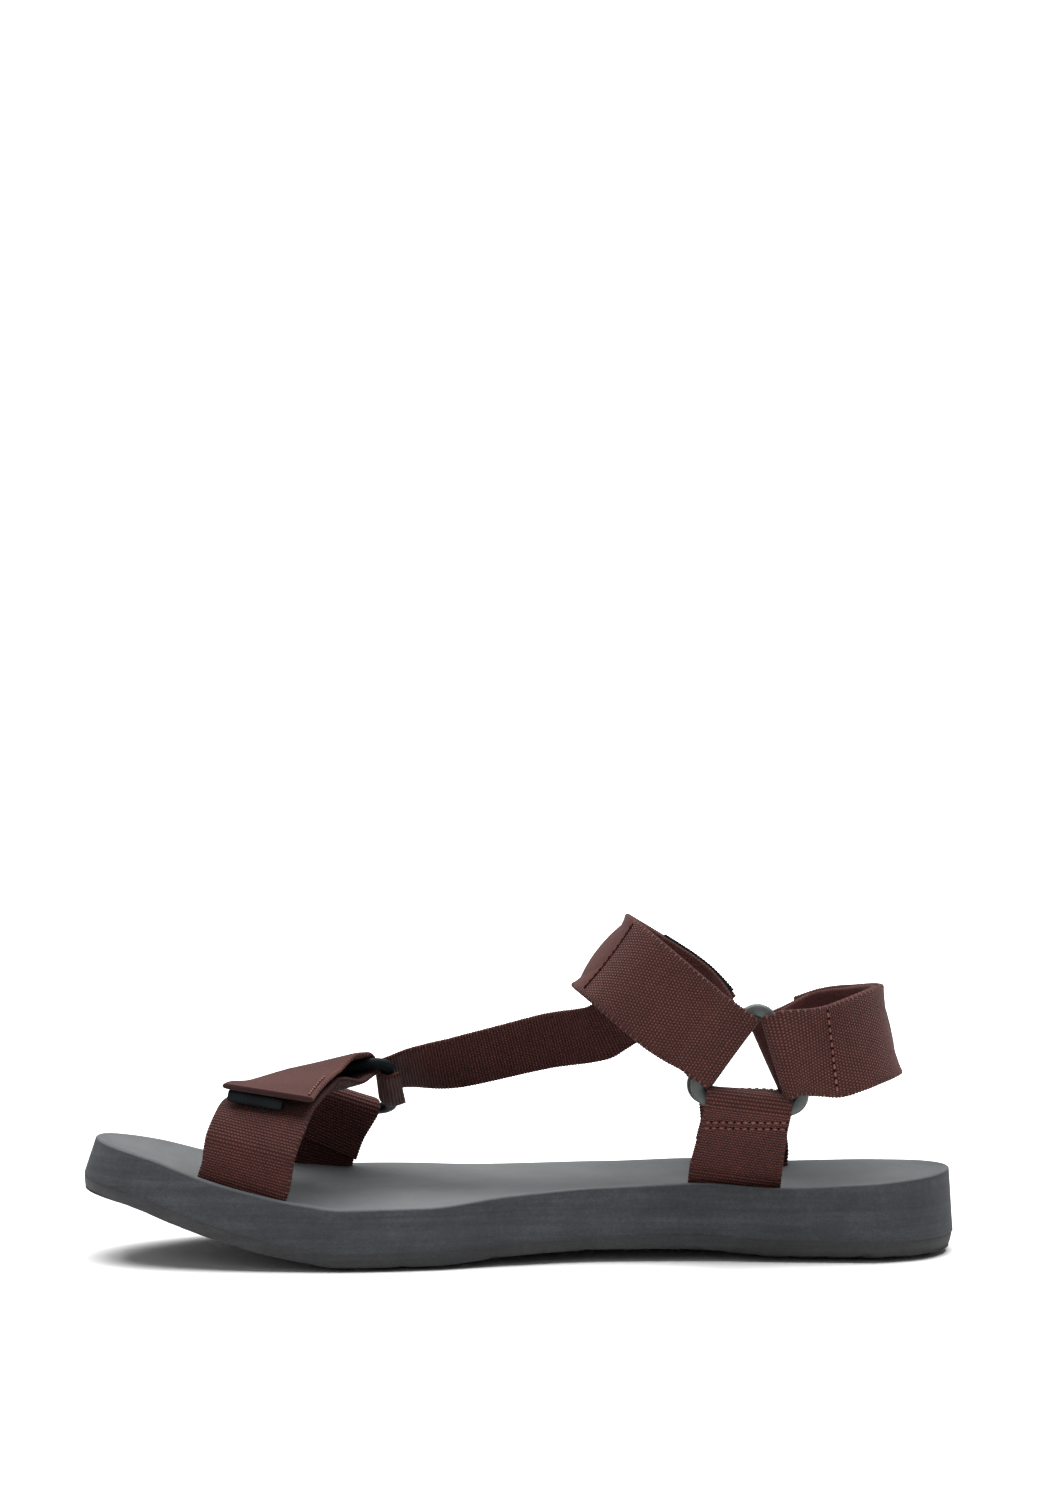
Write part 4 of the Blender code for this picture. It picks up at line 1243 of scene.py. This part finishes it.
# rows whose travelled length lies between two values
def stretch(rows, low, high):
    return [row for row in rows if low <= row[4] <= high]


# the hook tape between the two layers of the instep strap, whose edge shows on the far side
hookTape = {"length": 30.0, "fromEnd": 2.0, "thickness": 0.5, "width": 31.6}


def hookTapePiece():
    last = instepRows[-1][4] - hookTape["fromEnd"]
    made = []
    for spot, across, _, normal, travelled in stretch(instepRows, last - hookTape["length"], last):
        inward = -normal * outwardSide(spot, normal) * (webbing["thickness"] / 2 + hookTape["thickness"])
        made.append((spot + inward, across, hookTape["width"], normal, travelled))
    return strapPiece("instepHookTape", made, hookTape["thickness"], greenTape)


hookTapePiece()
print("straps made")


# stitches: short thick threads laid along a line on a strap's outer face

stitchLook = {"pitch": 2.4, "length": 1.7, "width": 0.9, "height": 0.9, "around": 8, "along": 5}
# dark blobs that paint the shade of the needle holes between the stitches
holeShadeLook = {**stitchLook, "length": 0.7, "width": 0.8, "height": 0.4}


def crownAt(spot, across):
    crown = instepCrown(spot) if spot.x < seams["crownBefore"] and spot.z > seams["crownAbove"] else 0.0
    return crown * (1 - (2 * across / webbing["width"]) ** 2)


def spotOnStrap(rows, travelled, across, lift):
    row = min(rows, key=lambda row: abs(row[4] - travelled))
    spot, wide, _, normal, _ = row
    return spot + wide * across + normal * (lift * outwardSide(spot, normal) + crownAt(spot, across)), normal


def addStitch(shape, look, start, end, normal):
    way = (end - start).normalized()
    wide = way.cross(normal).normalized()
    turn = Matrix((way, wide, way.cross(wide))).transposed().to_4x4()
    sizes = [look[key] * mm / 2 for key in ("length", "width", "height")]
    place = Matrix.Translation(placed((start + end) / 2)) @ turn @ Matrix.Diagonal((*sizes, 1))
    steps = {"u_segments": look["around"], "v_segments": look["along"]}
    bmesh.ops.create_uvsphere(shape, **steps, radius=1, matrix=place)


# a seam from one point of the strap to another, both as (travelled, across)
def addSeam(shape, look, shift, rows, lift, start, end):
    first, _ = spotOnStrap(rows, *start, lift)
    last, _ = spotOnStrap(rows, *end, lift)
    count = max(2, round((last - first).length / look["pitch"]))
    for index in range(count):
        ends = []
        for side in (-1, 1):
            share = (index + shift + side * look["length"] / look["pitch"] / 2) / count
            spots = [low + (high - low) * share for low, high in zip(start, end)]
            ends.append(spotOnStrap(rows, *spots, lift))
        addStitch(shape, look, ends[0][0], ends[1][0], ends[0][1])


seams = {
    # margins from the edge, heights of the rows on the anchors, places along x and y on the straps
    "margin": 1.8,
    "lift": 0.12,
    "anchorHeights": (46.8, 44.6),
    "heelLine": 100.5,
    "heelBefore": -10,
    "sideFromRing": (6.0, 9.5),
    "flapLength": 24.0,
    "crownBefore": 80,
    "crownAbove": 75,
}
wideReach = webbing["width"] / 2 - seams["margin"]
sideReach = webbing["sideWidth"] / 2 - seams["margin"]


# the stitches, and between them small dark blobs of painted shade for the holes where the needle pulled the
# webbing in
def seamPiece(name, lines, rows, thickness, thread=brownThread):
    parts = ("Stitches", stitchLook, 0.5, thread), ("Holes", holeShadeLook, 1.0, needleShade)
    for part, look, shift, material in parts:
        shape = bmesh.new()
        for start, end in lines:
            addSeam(shape, look, shift, rows, thickness / 2 + seams["lift"], start, end)
        finishPiece(shape, name + part, material)


# length travelled at the row where a measure is least
def travelledWhere(rows, measure):
    return min(rows, key=measure)[4]


# the rows of an ankle strap's outer layer, from its ring on the inner side of the foot to its free end
def outerLayer(rows, bar):
    return stretch(rows, travelledWhere(rows, lambda row: (row[0] - bar.centre).length), rows[-1][4])


# how far along a strap a line at this distance from its middle comes to a height
def levelSpot(rows, across, height):
    return travelledWhere(rows, lambda row: abs((row[0] + row[1] * across).z - height))


for name in ("rear_anchor_medial", "rear_anchor_lateral"):
    rows = strapRun[name]
    outer = stretch(rows, 0.0, travelledWhere(rows, lambda row: -row[0].z))
    lines = [
        tuple((levelSpot(outer, across, height), across) for across in (-wideReach, wideReach))
        for height in seams["anchorHeights"]
    ]
    seamPiece(name + "Seam", lines, outer, webbing["thickness"])

outerHeel = outerLayer(heelRows, medialBehind)
heelLine = travelledWhere(
    outerHeel, lambda row: abs(row[0].x - seams["heelLine"]) + max(0.0, row[0].y - seams["heelBefore"])
)
seamPiece("heelSeam", [((heelLine, -wideReach), (heelLine, wideReach))], outerHeel, webbing["thickness"])

foremost = travelledWhere(sideRows, lambda row: row[0].x)
lines = [((foremost + far, -sideReach), (foremost + far, sideReach)) for far in seams["sideFromRing"]]
seamPiece("sideSeam", lines, stretch(sideRows, foremost, sideRows[-1][4]), webbing["sideThickness"])

# where the woven panel of the instep strap ends and its smooth band over the foot begins
outerInstep = outerLayer(instepRows, medialFront)
bandStart = travelledWhere(outerInstep, lambda row: abs(row[0].y - ankle["smoothFrom"]))
lines = [((bandStart, -wideReach), (bandStart, wideReach))]
seamPiece("instepSeam", lines, outerInstep, webbing["thickness"], darkThread)

# along the rear edge of the toe flap
toeEnd = toeRows[-1]
rear = math.copysign(wideReach, toeEnd[1].x)
flapStart = toeEnd[4] - seams["flapLength"]
lines = [((flapStart, rear), (toeEnd[4] - seams["margin"], rear))]
seamPiece("toeFlapSeam", lines, stretch(toeRows, flapStart, toeEnd[4]), webbing["thickness"])
print("seams made")


# stage: a pale floor that goes over into the plain background, and soft light from above

stage = {
    "size": 6.0,
    "clear": 0.3,
    "gone": 0.75,
    "tone": "#f2f2f2",
    "sky": 0.22,
    "skySeen": 1.05,
    # name, power, size, place and what it points at
    "lights": [
        ("topSoftbox", 96.0, (2.4, 2.0), (0.0, 0.35, 1.7), (0.0, 0.0, 0.0)),
        ("frontCard", 4.0, (2.0, 1.2), (-0.6, -1.8, 0.9), (0.0, 0.0, 0.05)),
    ],
}

shape = bmesh.new()
bmesh.ops.create_grid(shape, x_segments=1, y_segments=1, size=stage["size"])
floorMesh = bpy.data.meshes.new("floor")
shape.to_mesh(floorMesh)
shape.free()
floor = bpy.data.objects.new("floor", floorMesh)
bpy.context.scene.collection.objects.link(floor)
floorMaterial, floorTree, floorShader, floorPlace = newMaterial("paleFloor")
floorFar = addNode(floorTree, "ShaderNodeVectorMath", {0: floorPlace}, operation="LENGTH")
floorFade = ranged(floorTree, (floorFar, "Value"), stage["clear"], stage["gone"])
floorSeen = addNode(floorTree, "ShaderNodeLightPath")
floorLook = {
    "Base Color": linearColour(stage["tone"]),
    "Roughness": 0.9,
    "Emission Strength": reckoned(floorTree, "MULTIPLY", floorFade, (floorSeen, "Is Camera Ray")),
    "Emission Color": (1.0, 1.0, 1.0, 1.0),
}
feed(floorTree, floorShader, floorLook)
floorMesh.materials.append(floorMaterial)


def areaLight(name, power, size, location, target):
    data = bpy.data.lights.new(name, "AREA")
    data.shape = "RECTANGLE"
    data.size, data.size_y = size
    data.energy = power
    lamp = bpy.data.objects.new(name, data)
    lamp.location = location
    lamp.rotation_euler = (Vector(target) - Vector(location)).to_track_quat("-Z", "Y").to_euler()
    bpy.context.scene.collection.objects.link(lamp)


for lampRow in stage["lights"]:
    areaLight(*lampRow)
world = bpy.data.worlds.new("paleSky")
world.use_nodes = True
bpy.context.scene.world = world
skyTree = world.node_tree
whereSeen = addNode(skyTree, "ShaderNodeLightPath")
strength = ranged(skyTree, (whereSeen, "Is Camera Ray"), 0.0, 1.0, stage["sky"], stage["skySeen"])
feed(skyTree, skyTree.nodes["Background"], {"Color": (1.0, 1.0, 1.0, 1.0), "Strength": strength})
bpy.context.scene.view_settings.view_transform = "Standard"
bpy.context.scene.view_settings.look = "None"

print("scene done")
